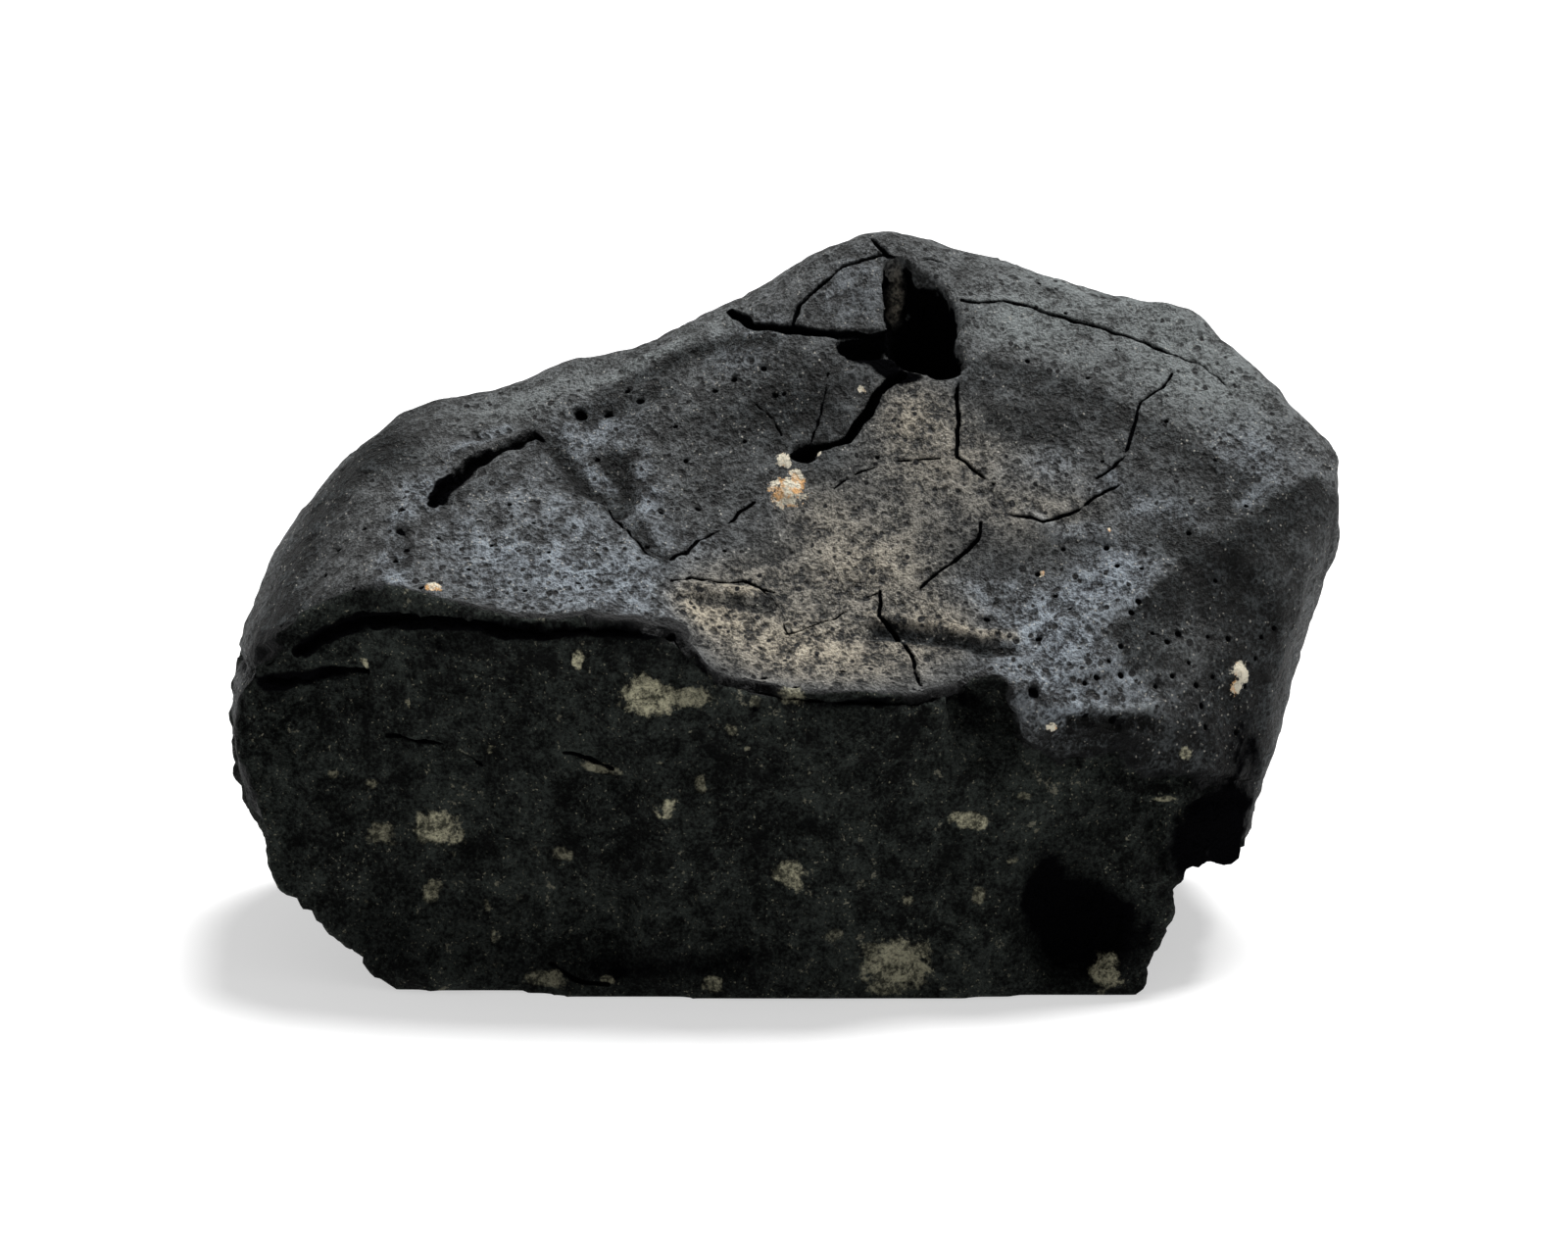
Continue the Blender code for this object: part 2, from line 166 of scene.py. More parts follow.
work_on(stone)
bpy.ops.object.mode_set(mode="EDIT")
bpy.ops.mesh.select_all(action="SELECT")
bpy.ops.mesh.remove_doubles(threshold=MERGE_GAP)
bpy.ops.object.mode_set(mode="OBJECT")

# %% Small even faces
VOXEL = 0.49 * MM
ORDER_STEP = 1e-4 * MM
SMOOTH_SHARE, SMOOTH_PASSES = 0.5, 3


def vertex_array(mesh):
    coords = np.empty(len(mesh.vertices) * 3)
    mesh.vertices.foreach_get("co", coords)
    return coords.reshape(-1, 3)


def put_in_order(mesh):
    """Numbers the vertices by their places, and the faces by their vertices."""
    coords = vertex_array(mesh)
    order = np.lexsort(np.round(coords / ORDER_STEP).T)
    number = np.empty(len(order), int)
    number[order] = np.arange(len(order))
    faces = []
    for polygon in mesh.polygons:
        corners = number[list(polygon.vertices)].tolist()
        first = corners.index(min(corners))
        faces.append(corners[first:] + corners[:first])
    mesh.clear_geometry()
    mesh.from_pydata(coords[order], [], sorted(faces))


remesh = stone.modifiers.new("even_faces", "REMESH")
remesh.mode = "VOXEL"
remesh.voxel_size = VOXEL
apply_all_modifiers(stone)
put_in_order(stone.data)
soften = stone.modifiers.new("soften", "SMOOTH")
soften.factor = SMOOTH_SHARE
soften.iterations = SMOOTH_PASSES
apply_all_modifiers(stone)
print("remeshed to", len(stone.data.polygons), "faces")

# %% Thinning the hidden side
HIDDEN_FACING = -0.15
HIDDEN_SHARE = 0.58

hidden = stone.vertex_groups.new(name="hidden")
away = [v.index for v in stone.data.vertices if v.normal.dot(TOWARDS_CAMERA) < HIDDEN_FACING]
hidden.add(away, 1.0, "REPLACE")
thin = stone.modifiers.new("thin", "DECIMATE")
thin.ratio = HIDDEN_SHARE
thin.vertex_group = hidden.name
apply_all_modifiers(stone)
stone.vertex_groups.clear()
print("thinned to", len(stone.data.polygons), "faces")

# %% [markdown]
# ## Marks placed by the picture
#
# Cracks, pits and inclusions are listed by the pixels where the picture shows them. A ray from
# the camera through each pixel finds the spot on the stone. From there on the mark belongs to
# the stone, and looks right from any side.

# %% From pixels to the stone
FOCAL_PIXELS = LENS / SENSOR * IMAGE_WIDTH
PIXEL = DISTANCE / FOCAL_PIXELS


def surface_tree(obj):
    mesh = obj.data
    return BVHTree.FromPolygons([v.co for v in mesh.vertices],
                                [tuple(p.vertices) for p in mesh.polygons])


tree = surface_tree(stone)


def spot(px, py):
    """The point of the stone, and its normal, that the picture shows at a pixel."""
    sight = (-TOWARDS_CAMERA * FOCAL_PIXELS
             + Vector((1, 0, 0)) * (px - IMAGE_WIDTH / 2)
             - PICTURE_UP * (py - IMAGE_HEIGHT / 2))
    point, normal, _, _ = tree.ray_cast(EYE, sight.normalized())
    if point is None:
        raise ValueError(f"no stone at pixel {px}, {py}")
    return point, normal


print("one pixel is", round(PIXEL / MM, 4), "mm; the peak's hole is at",
      [round(c / MM, 1) for c in spot(930, 400)[0]])

# %% [markdown]
# ## Cracks
#
# As the hot crust cooled it shrank and cracked round the hole, much as drying mud does. Each
# crack is a route of pixels with a width in pixels and a depth in millimetres. A route is
# followed over the stone in short steps, so that it hugs the surface. The picture doesn't show
# the far side, so its six cracks are invented, and their routes are in millimetres.

# %% The cracks' routes
CRACKS = {
    # name: (width in pixels, depth in mm, route)
    "peak_to_left": (11, 1.6, ((745, 316), (765, 330), (790, 335), (815, 337), (850, 340), (880, 345),
        (903, 348))),
    "peak_arch": (6, 1.1, ((808, 334), (815, 312), (835, 290), (858, 270), (880, 262), (903, 258),
        (912, 264))),
    "peak_crest": (5, 0.9, ((888, 241), (900, 252), (912, 262))),
    "peak_down_left": (9, 1.6, ((932, 378), (912, 388), (895, 405), (878, 430), (865, 450), (845, 455),
        (825, 458), (810, 466))),
    "peak_down": (4, 0.8, ((985, 372), (976, 395), (977, 430), (975, 465), (1000, 485), (1015, 495))),
    "peak_to_right": (5, 0.8, ((980, 308), (1030, 308), (1060, 315), (1095, 325), (1130, 335),
        (1165, 347), (1200, 362))),
    "right_fork": (3.6, 0.5, ((1193, 380), (1185, 395), (1165, 410), (1160, 430), (1150, 455),
        (1145, 470), (1120, 490))),
    "right_bow": (3.6, 0.5, ((1013, 515), (1035, 527), (1065, 533), (1090, 525), (1120, 505),
        (1145, 493))),
    "middle_stair": (4, 0.5, ((1000, 535), (998, 552), (975, 570), (950, 590), (940, 600))),
    "to_the_lip": (4, 0.7, ((897, 602), (898, 630), (915, 645), (930, 665), (935, 685), (940, 698))),
    "left_diagonal": (3.8, 0.45, ((770, 510), (755, 520), (740, 535), (715, 548), (700, 562),
        (685, 570))),
    "left_level": (3.4, 0.45, ((684, 592), (705, 588), (740, 592), (760, 590), (790, 605))),
    "left_hair": (2, 0.35, ((620, 520), (640, 545), (665, 565), (690, 575))),
    "middle_hair": (2.4, 0.3, ((850, 500), (900, 470), (960, 465))),
    "basin_hair": (2, 0.35, ((893, 605), (872, 616), (850, 630), (832, 636), (804, 642))),
    "basin_slant": (2, 0.3, ((763, 590), (778, 600), (796, 621), (809, 647))),
    "slope_seam": (3, 0.4, ((845, 380), (838, 420), (830, 440), (825, 456))),
    "face_left": (5, 0.6, ((395, 752), (440, 760), (470, 770), (492, 782))),
    "face_middle": (4, 0.4, ((575, 770), (600, 775), (625, 786))),
    "face_foot": (4, 0.5, ((560, 985), (590, 1000), (620, 1005))),
    # Under the slab, the patch's ledge, the notch and the corner the grooves are cracks too, painted
    # black inside as shadow.
    "under_slab": (11, 1.3, ((300, 668), (335, 646), (380, 634), (430, 637), (470, 641), (540, 644),
        (600, 641), (640, 645), (692, 646))),
    "under_patch_ledge": (11, 0.6, ((441, 516), (454, 496), (480, 472), (504, 461), (525, 455),
        (543, 443), (553, 450))),
    "notch_tail": (7, 0.9, ((262, 690), (290, 699), (315, 702), (334, 690), (374, 688))),
    "under_corner": (5, 0.6, ((694, 648), (708, 668), (722, 690), (782, 704), (850, 720), (915, 718),
        (958, 708), (982, 700))),
    "peak_beside": (2.5, 0.4, ((935, 266), (948, 264), (966, 270))),
    "slope_hair": (2, 0.35, ((770, 410), (790, 425), (798, 445))),
    "far_right": (2, 0.3, ((1200, 362), (1225, 372), (1250, 392))),
}
ROUTE_STEP = 9


def places_along(route, step):
    """The places along a route, about a step apart."""
    for (ax, ay), (bx, by) in zip(route, route[1:]):
        steps = max(1, round(math.hypot(bx - ax, by - ay) / step))
        for n in range(steps):
            yield ax + (bx - ax) * n / steps, ay + (by - ay) * n / steps
    yield route[-1]


def route_points(route):
    """Points on the stone along a route of pixels."""
    return [spot(*place)[0] for place in places_along(route, ROUTE_STEP)]


# %% The far side's cracks
FAR_CRACKS = {
    # name: (width in pixels, depth in mm, route of (across, up) in mm on the stone's far side)
    "far_long": (9, 0.9, ((-34, 20), (-27, 24), (-20, 23), (-13, 28), (-6, 27), (1, 31), (8, 30))),
    "far_fork": (5, 0.6, ((-13, 28), (-11, 34), (-14, 38))),
    "far_drop": (8, 0.8, ((8, 30), (12, 24), (11, 17), (15, 10), (14, 4))),
    "far_branch": (8, 0.7, ((12, 24), (19, 22), (26, 25), (33, 23))),
    "far_low": (7, 0.6, ((-27, 24), (-28, 16), (-23, 9))),
    "far_top": (7, 0.5, ((8, 30), (14, 35), (20, 37))),
}
FAR_STEP, FAR_SWAY, FAR_SWAY_SIZE = 0.7, 0.5, 2.5
BEHIND = 100 * MM


def far_points(route):
    """Points on the stone's far side along a route of places across and up, in mm."""
    found = []
    for x, z in places_along(route, FAR_STEP):
        sway = FAR_SWAY * noise.noise(Vector((x, 0, z)) / FAR_SWAY_SIZE)
        start = Vector(((x + sway) * MM, BEHIND, (z + sway) * MM))
        found.append(tree.ray_cast(start, Vector((0, -1, 0)))[0])
    return found


crack_lines = {name: (width * PIXEL / 2, depth * MM, route_points(route))
               for name, (width, depth, route) in CRACKS.items()}
crack_lines.update({name: (width * PIXEL / 2, depth * MM, far_points(route))
                    for name, (width, depth, route) in FAR_CRACKS.items()})
print(len(crack_lines), "cracks,",
      round(sum((b - a).length for _, _, line in crack_lines.values()
                for a, b in zip(line, line[1:])) / MM), "mm in all")

# %% [markdown]
# ## Ledges, ridges and hollows
#
# Between the solid's swells and the grain of the crust there are landforms a few millimetres
# wide: the ledge of crust that curls round the left patch, the shoulder that runs down to the
# right, the hollows in the break. Each is a route or a blob of pixels again, with a height in
# millimetres that is added to the surface or taken from it.

# %% Routes of the landforms
RIDGES = {
    # name: (width in pixels, height in mm, route); a groove has a negative height
    "shoulder": (30, 0.55, ((1338, 482), (1300, 512), (1250, 550), (1200, 588), (1150, 622),
        (1090, 645), (1060, 652))),
    "back_rim": (22, 0.45, ((640, 378), (690, 354), (742, 336))),
    "rim_pits": (22, -0.40, ((585, 432), (610, 420), (650, 408), (700, 392))),
    "lip_ridge": (12, 0.35, ((872, 631), (920, 632), (960, 636), (1000, 650), (1045, 649))),
    "lip_groove": (14, -0.45, ((880, 644), (930, 648), (975, 654), (1008, 664), (1045, 664))),
    "patch_groove": (16, -0.50, ((557, 440), (575, 470), (600, 500), (642, 532))),
    "patch_valley": (24, -0.65, ((652, 520), (636, 508), (626, 482), (640, 455))),
    "patch_tail": (14, -0.30, ((642, 532), (665, 560), (690, 576))),
    "patch_edge": (16, 0.35, ((430, 500), (408, 535), (398, 570), (392, 598))),
    "basin_edge": (14, 0.30, ((690, 596), (740, 602), (785, 606))),
    "basin_crease": (12, -0.30, ((700, 606), (750, 612), (800, 622))),
    "low_ledge": (9, 0.35, ((1078, 722), (1125, 726), (1180, 723))),
    "low_groove": (12, -0.40, ((1080, 734), (1125, 738), (1185, 735))),
    "slope_rib": (16, 0.30, ((985, 400), (1030, 412), (1085, 420), (1130, 418))),
    "slope_fold": (18, -0.35, ((990, 425), (1040, 440), (1100, 446))),
    "middle_rib": (14, 0.25, ((1040, 520), (1085, 548), (1130, 545), (1190, 520))),
    "corner_rib": (14, 0.30, ((700, 560), (735, 545), (770, 528))),
}
SCARPS = {
    # name: (drop in mm, width of the dropped strip in pixels, route); walking along the route,
    # the drop is on the right hand
    "patch_scarp": (0.75, 30, ((438, 512), (450, 492), (477, 467), (502, 456), (523, 450), (543, 438),
        (557, 450))),
    "band_top": (0.55, 26, ((1062, 764), (1110, 776), (1150, 784), (1210, 790), (1286, 796))),
    "band_middle": (0.50, 24, ((1078, 800), (1130, 806), (1190, 818), (1276, 814))),
    "band_low": (0.35, 22, ((1085, 836), (1150, 842), (1185, 838))),
    "block_side": (0.90, 30, ((1184, 826), (1186, 860), (1192, 896))),
    "slab_edge": (0.80, 34, ((262, 664), (300, 648), (335, 632), (380, 623), (430, 628), (470, 633),
        (540, 636), (600, 632), (640, 636), (690, 641))),
    "corner_edge": (0.60, 26, ((692, 640), (706, 660), (720, 684), (780, 700), (850, 716), (915, 714),
        (958, 704), (985, 694), (1010, 738), (1058, 762))),
    "left_face_ledge": (0.60, 40, ((395, 750), (440, 758), (470, 768), (494, 784))),
    "face_ledge": (0.40, 30, ((560, 776), (600, 780), (632, 792), (660, 790))),
    "face_fold": (0.50, 44, ((700, 760), (760, 772), (830, 765), (900, 780), (960, 775))),
    "low_fold": (0.50, 44, ((430, 930), (500, 946), (560, 940), (640, 958))),
    "right_fold": (0.55, 40, ((980, 850), (1020, 862), (1060, 858))),
}
BUMPS = (
    # (pixel across, pixel down, half width, half height, turn, height in mm)
    (1210, 326, 30, 20, 10, 0.55), (530, 545, 115, 90, 0, 0.45), (262, 832, 42, 85, -15, -0.65),
    (1002, 726, 46, 20, -42, -1.7), (1090, 945, 46, 64, 5, -1.7), (822, 463, 14, 9, 0, -0.9),
    (720, 520, 60, 40, 0, -0.35), (760, 640, 70, 30, 0, -0.30), (860, 560, 70, 40, -20, 0.25),
    (1110, 640, 60, 50, 0, 0.40), (940, 560, 40, 30, 0, -0.30), (1250, 640, 60, 80, 20, -0.40),
    (700, 430, 70, 40, -10, 0.35), (800, 410, 60, 40, 0, -0.35), (320, 560, 50, 90, -25, 0.20),
    (350, 860, 60, 50, 0, 0.60), (480, 830, 60, 40, 10, -0.60), (640, 860, 80, 50, 0, 0.55),
    (560, 720, 70, 40, 0, -0.45), (780, 860, 60, 60, 0, -0.50), (900, 880, 60, 60, 0, 0.50),
    (840, 760, 60, 30, 0, 0.40), (700, 970, 80, 40, 0, 0.45), (600, 960, 50, 40, 0, -0.45),
    (960, 960, 70, 40, 0, 0.35), (1130, 1000, 26, 30, 0, 0.60), (330, 700, 50, 22, 15, -0.9),
    (1180, 940, 20, 50, 10, 0.4), (460, 1000, 60, 20, 0, 0.35), (1258, 850, 22, 34, 0, 0.45),
    (803, 502, 17, 14, 0, 0.45), (800, 470, 9, 9, 0, 0.40), (1266, 692, 12, 14, 0, 0.40),
    (441, 602, 8, 6, 0, 0.30), (660, 710, 28, 20, 0, 0.30), (679, 823, 11, 11, 0, 0.30),
    (448, 845, 24, 16, 0, 0.30),
)

# %% [markdown]
# ## Gas pits
#
# Gas that boiled out of the crust left round pits. The largest are listed one by one; the
# finest are left to the finish.

# %% The pits' places
PITS = (
    # (pixel across, pixel down, radius in pixels)
    (1055, 705, 7), (1060, 655, 5), (1007, 633, 4.5), (1110, 731, 4.5), (1139, 733, 5), (1118, 692, 4),
    (1107, 697, 3.5), (1145, 688, 4.5), (1204, 645, 4.5), (1192, 654, 4), (1142, 662, 3.5),
    (1161, 617, 4), (1176, 646, 3), (1130, 677, 3), (1154, 628, 4), (1092, 628, 3), (1077, 610, 3.5),
    (1196, 690, 3.5), (1214, 676, 3), (1222, 699, 4), (1236, 648, 3), (1257, 651, 4), (1226, 720, 4),
    (1290, 650, 3), (1273, 700, 3.5), (1240, 690, 3), (1283, 672, 3), (1301, 641, 3.5), (1263, 748, 4),
    (1230, 742, 4), (1140, 577, 3.5), (1129, 558, 4), (1165, 580, 3), (1059, 585, 3.5), (1018, 648, 3),
    (653, 405, 5), (620, 417, 6), (592, 421, 7), (640, 397, 4), (730, 400, 4), (410, 525, 5),
    (409, 546, 6), (415, 562, 4), (404, 576, 3.5), (447, 551, 3), (545, 540, 3), (590, 596, 3.5),
    (536, 606, 3), (560, 568, 3), (478, 585, 3), (502, 560, 2.8), (520, 520, 3), (610, 470, 4),
    (570, 492, 3), (660, 555, 4), (675, 520, 3.5), (700, 470, 3.5), (713, 515, 4), (740, 560, 3),
    (690, 440, 3.5), (749, 387, 4), (790, 400, 4), (799, 399, 3), (778, 374, 4), (760, 450, 3),
    (895, 466, 3), (1048, 370, 3.5), (1060, 290, 3), (1088, 318, 3), (1110, 385, 3), (1125, 470, 3),
    (1190, 430, 3), (1240, 470, 3), (1270, 520, 3), (1213, 545, 3.5), (1085, 560, 3), (1243, 590, 3),
    (1180, 700, 3), (780, 690, 4), (812, 700, 3.5), (860, 682, 4), (770, 725, 3), (300, 600, 3),
    (330, 585, 3), (345, 560, 3.5), (290, 640, 3), (360, 600, 3), (318, 530, 3), (372, 540, 3),
    (350, 480, 3), (272, 675, 5), (380, 640, 4), (430, 600, 3.5),
)
PIT_DEPTH = 0.85

pit_spots = [(*spot(px, py), radius * PIXEL) for px, py, radius in PITS]
print(len(pit_spots), "pits of", round(2 * min(r for _, _, r in pit_spots) / MM, 2), "to",
      round(2 * max(r for _, _, r in pit_spots) / MM, 2), "mm")

# %% [markdown]
# ## Pale inclusions and chips
#
# The broken face shows the inside of the stone: cream-coloured inclusions and round chondrules
# in a nearly black matrix. On the crust small chips let the same pale mineral show, stained
# orange by rust. Each is a blob with a middle, two half widths and a turn, and its edge is
# made ragged by the finish.

# %% The inclusions' places
INCLUSIONS = (
    # (pixel across, pixel down, half width, half height, turn in degrees, paleness)
    (660, 710, 27, 19, -10, 0.9), (704, 712, 26, 10, 5, 0.55), (679, 823, 10.5, 10, 0, 1.0),
    (805, 893, 17, 13, -30, 0.95), (448, 845, 25, 17, 0, 0.85), (392, 850, 15, 13, 0, 0.4),
    (440, 910, 9, 13, -20, 0.6), (990, 838, 22, 8, -12, 0.8), (915, 985, 36, 30, 0, 0.62),
    (1125, 990, 18, 21, 20, 0.75), (727, 1003, 12, 9, 0, 0.6), (590, 672, 6, 11, -10, 1.0),
    (370, 678, 7, 6, 0, 1.0), (500, 765, 5, 5, 0, 0.8), (415, 718, 4, 6, 20, 0.7),
    (612, 785, 20, 6, -10, 0.35), (575, 870, 13, 9, 0, 0.35), (808, 706, 14, 7, 0, 0.5),
    (455, 770, 5, 4, 0, 0.5), (925, 915, 8, 7, 0, 0.5), (1035, 880, 7, 5, 0, 0.4),
    (555, 1000, 24, 9, 0, 0.35), (505, 955, 6, 7, 0, 0.4), (745, 745, 8, 5, 0, 0.4),
    (715, 800, 6, 9, 10, 0.4), (530, 915, 5, 5, 0, 0.45), (850, 955, 9, 8, 0, 0.35),
    (1000, 915, 8, 10, 0, 0.4), (380, 800, 8, 5, 0, 0.4), (900, 1010, 12, 6, 0, 0.45),
    (497, 925, 5, 6, 0, 0.35), (625, 930, 5, 4, 0, 0.35), (675, 780, 4, 3, 0, 0.4),
    (340, 790, 6, 4, 0, 0.35), (375, 920, 5, 4, 0, 0.35), (762, 765, 4, 3, 0, 0.4),
    (770, 715, 6, 8, 0, 0.45), (1190, 815, 13, 3, 0, 0.55), (1210, 768, 9, 6, 0, 0.8),
    (1165, 880, 5, 5, 0, 0.4), (1045, 812, 8, 4, 0, 0.35), (620, 1000, 8, 5, 0, 0.35),
    (460, 870, 6, 5, 0, 0.5), (670, 965, 9, 5, 0, 0.4), (545, 865, 6, 4, 0, 0.3),
)
CHIPS = (
    # (pixel across, pixel down, half width, half height, turn, orange)
    (803, 502, 19, 15, 0, 0.75), (800, 471, 9, 8, 0, 0.15), (811, 484, 6, 6, 0, 0.4),
    (818, 490, 4, 4, 0, 0.3), (441, 602, 8, 5, 0, 1.0), (1268, 688, 12, 10, 30, 0.35),
    (1262, 702, 6, 7, 0, 0.7), (1258, 655, 5, 5, 0, 0.6), (1205, 641, 4, 4, 0, 1.0),
    (878, 397, 5, 4, 0, 0.2), (835, 462, 4, 3, 0, 0.3), (1063, 585, 3, 3, 0, 0.6),
    (1130, 541, 3, 3, 0, 0.6), (1073, 742, 7, 4, 0, 0.05), (1258, 668, 4, 4, 0, 0.3),
)
SEEN_AT_LEAST = 0.35


def blob_frame(px, py, half_width, half_height, turn):
    """A blob's middle and the vectors that measure it across, along and through the surface."""
    point, normal = spot(px, py)
    sideways = (Vector((1, 0, 0)) - normal * normal.x).normalized()
    upwards = normal.cross(sideways)
    seen = max(SEEN_AT_LEAST, normal.dot(TOWARDS_CAMERA))
    angle = math.radians(turn)
    across = sideways * math.cos(angle) + upwards * math.sin(angle)
    along = upwards * math.cos(angle) - sideways * math.sin(angle)
    return (point, across / (half_width * PIXEL), along / (half_height * PIXEL / seen),
            normal / (max(half_width, half_height) * PIXEL))


inclusion_blobs = [(blob_frame(*row[:5]), row[5]) for row in INCLUSIONS]
chip_blobs = [(blob_frame(*row[:5]), row[5]) for row in CHIPS]
print(len(inclusion_blobs), "inclusions and", len(chip_blobs), "chips")

# %% [markdown]
# ## Finer faces where the marks are
#
# A hairline crack is a fifth of a millimetre wide, far finer than the remeshed faces. Instead
# of making the whole stone that fine, only the faces near a mark are subdivided, once for the
# wide marks and again for the narrow ones.

# %% Distances to marks
SHAKES = ((3.0, 0.22), (1.0, 0.15))


def normal_array(mesh):
    normals = np.empty(len(mesh.vertices) * 3)
    mesh.vertices.foreach_get("normal", normals)
    return normals.reshape(-1, 3)


def near_line(points, line, reach):
    """Each point's distance to a line of points (reach where it is further), and its side.

    The side is 1 on the right hand of someone who walks along the line, as the camera sees it,
    and -1 on the left hand. The third result is the distance to the line's nearer end.
    """
    stops = np.array([tuple(p) for p in line])
    gap = np.full(len(points), float(reach))
    side = np.ones(len(points))
    to_end = np.zeros(len(points))
    low, high = stops.min(0) - reach, stops.max(0) + reach
    close = np.flatnonzero(np.all((points > low) & (points < high), axis=1))
    local = points[close]
    lengths = np.linalg.norm(np.diff(stops, axis=0), axis=1)
    walked = np.concatenate(([0.0], np.cumsum(lengths)))
    for n, (a, b) in enumerate(zip(stops, stops[1:])):
        span, offset = b - a, local - a
        share = np.clip(offset @ span / (span @ span), 0, 1)
        distance = np.linalg.norm(offset - share[:, None] * span, axis=1)
        nearer = distance < gap[close]
        found = close[nearer]
        gap[found] = distance[nearer]
        side[found] = -np.sign(np.cross(span, offset[nearer]) @ np.array(TOWARDS_CAMERA))
        travel = walked[n] + share[nearer] * lengths[n]
        to_end[found] = np.minimum(travel, walked[-1] - travel)
    return gap, side, to_end


def blob_radius(points, blob, power=2.0):
    """How far out in a blob each point is: 0 in its middle, 1 at its edge.

    A power of 2 makes the blob an ellipse, and a higher one makes it squarer.
    """
    middle, *ways = blob
    offset = points - np.array(middle)
    return sum(np.abs(offset @ np.array(way)) ** power for way in ways) ** (1 / power)


def noise_at(points, size, start):
    """Noise of about this size in mm at each point, from -1 to 1."""
    scale = 1 / (size * MM)
    return np.array([noise.noise(Vector(p) * scale + start) for p in points])


def shaken(points):
    """The points moved about a little, so that a line measured from them is ragged."""
    moved = points.copy()
    for size, strength in SHAKES:
        scale = 1 / (size * MM)
        moved += strength * MM * np.array([noise.noise_vector(Vector(p) * scale) for p in points])
    return moved


def refine(obj, wanted, title):
    """Subdivides the faces that have a wanted vertex."""
    mesh = obj.data
    wanted_list = wanted.tolist()
    work_on(obj)
    mesh.polygons.foreach_set("select", [any(wanted_list[v] for v in p.vertices)
                                         for p in mesh.polygons])
    mesh.vertices.foreach_set("select", [False] * len(mesh.vertices))
    mesh.edges.foreach_set("select", [False] * len(mesh.edges))
    bpy.ops.object.mode_set(mode="EDIT")
    bpy.ops.mesh.select_mode(type="FACE")
    bpy.ops.mesh.subdivide(number_cuts=1, smoothness=0, quadcorner="INNERVERT")
    bpy.ops.object.mode_set(mode="OBJECT")
    print(title, len(mesh.polygons), "faces")


# %% Subdividing near the marks
WIDE_BAND, NARROW_BAND, LEDGE_BAND = 0.28 * MM, 0.10 * MM, 0.35 * MM
PIT_MARGIN, SPARE = 1.5, 1.01

ridge_lines = {name: (width * PIXEL, height, route_points(route))
               for name, (width, height, route) in RIDGES.items()}
scarp_lines = {name: (drop, width * PIXEL, route_points(route))
               for name, (drop, width, route) in SCARPS.items()}


def near_marks(coords, band, hair_only):
    points = shaken(coords)
    wanted = np.zeros(len(points), bool)
    for half_width, _, line in crack_lines.values():
        reach = half_width + band
        wanted |= near_line(points, line, reach * SPARE)[0] < reach
    for middle, _, radius in pit_spots:
        wanted |= ((coords - np.array(middle)) ** 2).sum(1) < (radius * PIT_MARGIN) ** 2
    if not hair_only:
        for _, _, line in scarp_lines.values():
            wanted |= near_line(points, line, LEDGE_BAND * SPARE)[0] < LEDGE_BAND
    return wanted


refine(stone, near_marks(vertex_array(stone.data), WIDE_BAND, False), "first pass")
refine(stone, near_marks(vertex_array(stone.data), NARROW_BAND, True), "second pass")

# %% [markdown]
# ## Crust or break?
#
# Every point of the stone is on the crust or on a break. The CAD model cut the breaks with rough
# sheets, so the same formula tells how far a point is inside a sheet. Near 0 it is on the break.

# %% The breaks' sheets
DRAWING_SHIFT = Vector((-0.122, -0.589, -1.0))
BREAKS = {
    # name: (a point, the way out, bow along, bow up), in the CAD drawing's mm
    "front": (Vector((0, -25.2, 15)), Vector((0, -0.993, -0.12)), 0.0062, 0.002),
    "heel": (Vector((-36.6, -8, 6.9)), Vector((-0.766, 0, -0.643)), 0.001, 0.0214),
}
FRONT_DENTS = (
    # (along, up, half width, half height, depth, share of the radius that slopes)
    (-24, -1.6, 15.5, 15.6, 1.2, 0.12), (3, 9, 10.5, 9, -1.2, 0.35), (14.6, 7.0, 3.6, 5.2, 2.6, 0.7),
    (17.5, 3.4, 3.2, 3.4, 1.4, 0.8), (33.4, -2.6, 4.8, 3.6, 0.9, 0.2), (20.5, -8.5, 6.0, 5.6, 1.9, 0.6),
    (-38.5, 0.5, 4.5, 5.0, -0.9, 0.3), (-9, -9, 9, 5, 0.8, 0.5), (-26, -9, 7, 4, 0.7, 0.4),
)
HEEL_DENTS = ((-8, 2, 6, 5, 0.7, 0.5), (9, -3, 7, 6, 0.8, 0.5))
FOOT_UP, FOOT_SPREAD, FOOT_BOW = -15, 20, 0.25
STEP_CORNER, STEP_LEAN = (29.2, 10.0), math.radians(17)
ON_BREAK = 0.7


def smoothstep(values):
    share = np.clip(values, 0, 1)
    return share * share * (3 - 2 * share)


def inside_sheet(points, name, dents):
    """How far each point lies inside a break's sheet, in mm, without the sheet's grain."""
    place, outward, bow_along, bow_up = BREAKS[name]
    outward = outward.normalized()
    along = Vector((0, 0, 1)).cross(outward).normalized()
    up = outward.cross(along)
    offset = points - np.array(place)
    a, u, height = (offset @ np.array(way) for way in (along, up, outward))
    bow = bow_along * a * a * (FOOT_BOW + (1 - FOOT_BOW) * smoothstep((u - FOOT_UP) / FOOT_SPREAD))
    sheet = -bow - bow_up * u * u
    for at_along, at_up, half_width, half_height, depth, slope in dents:
        radius = np.hypot((a - at_along) / half_width, (u - at_up) / half_height)
        sheet -= depth * smoothstep((1 - radius) / slope)
    return sheet - height


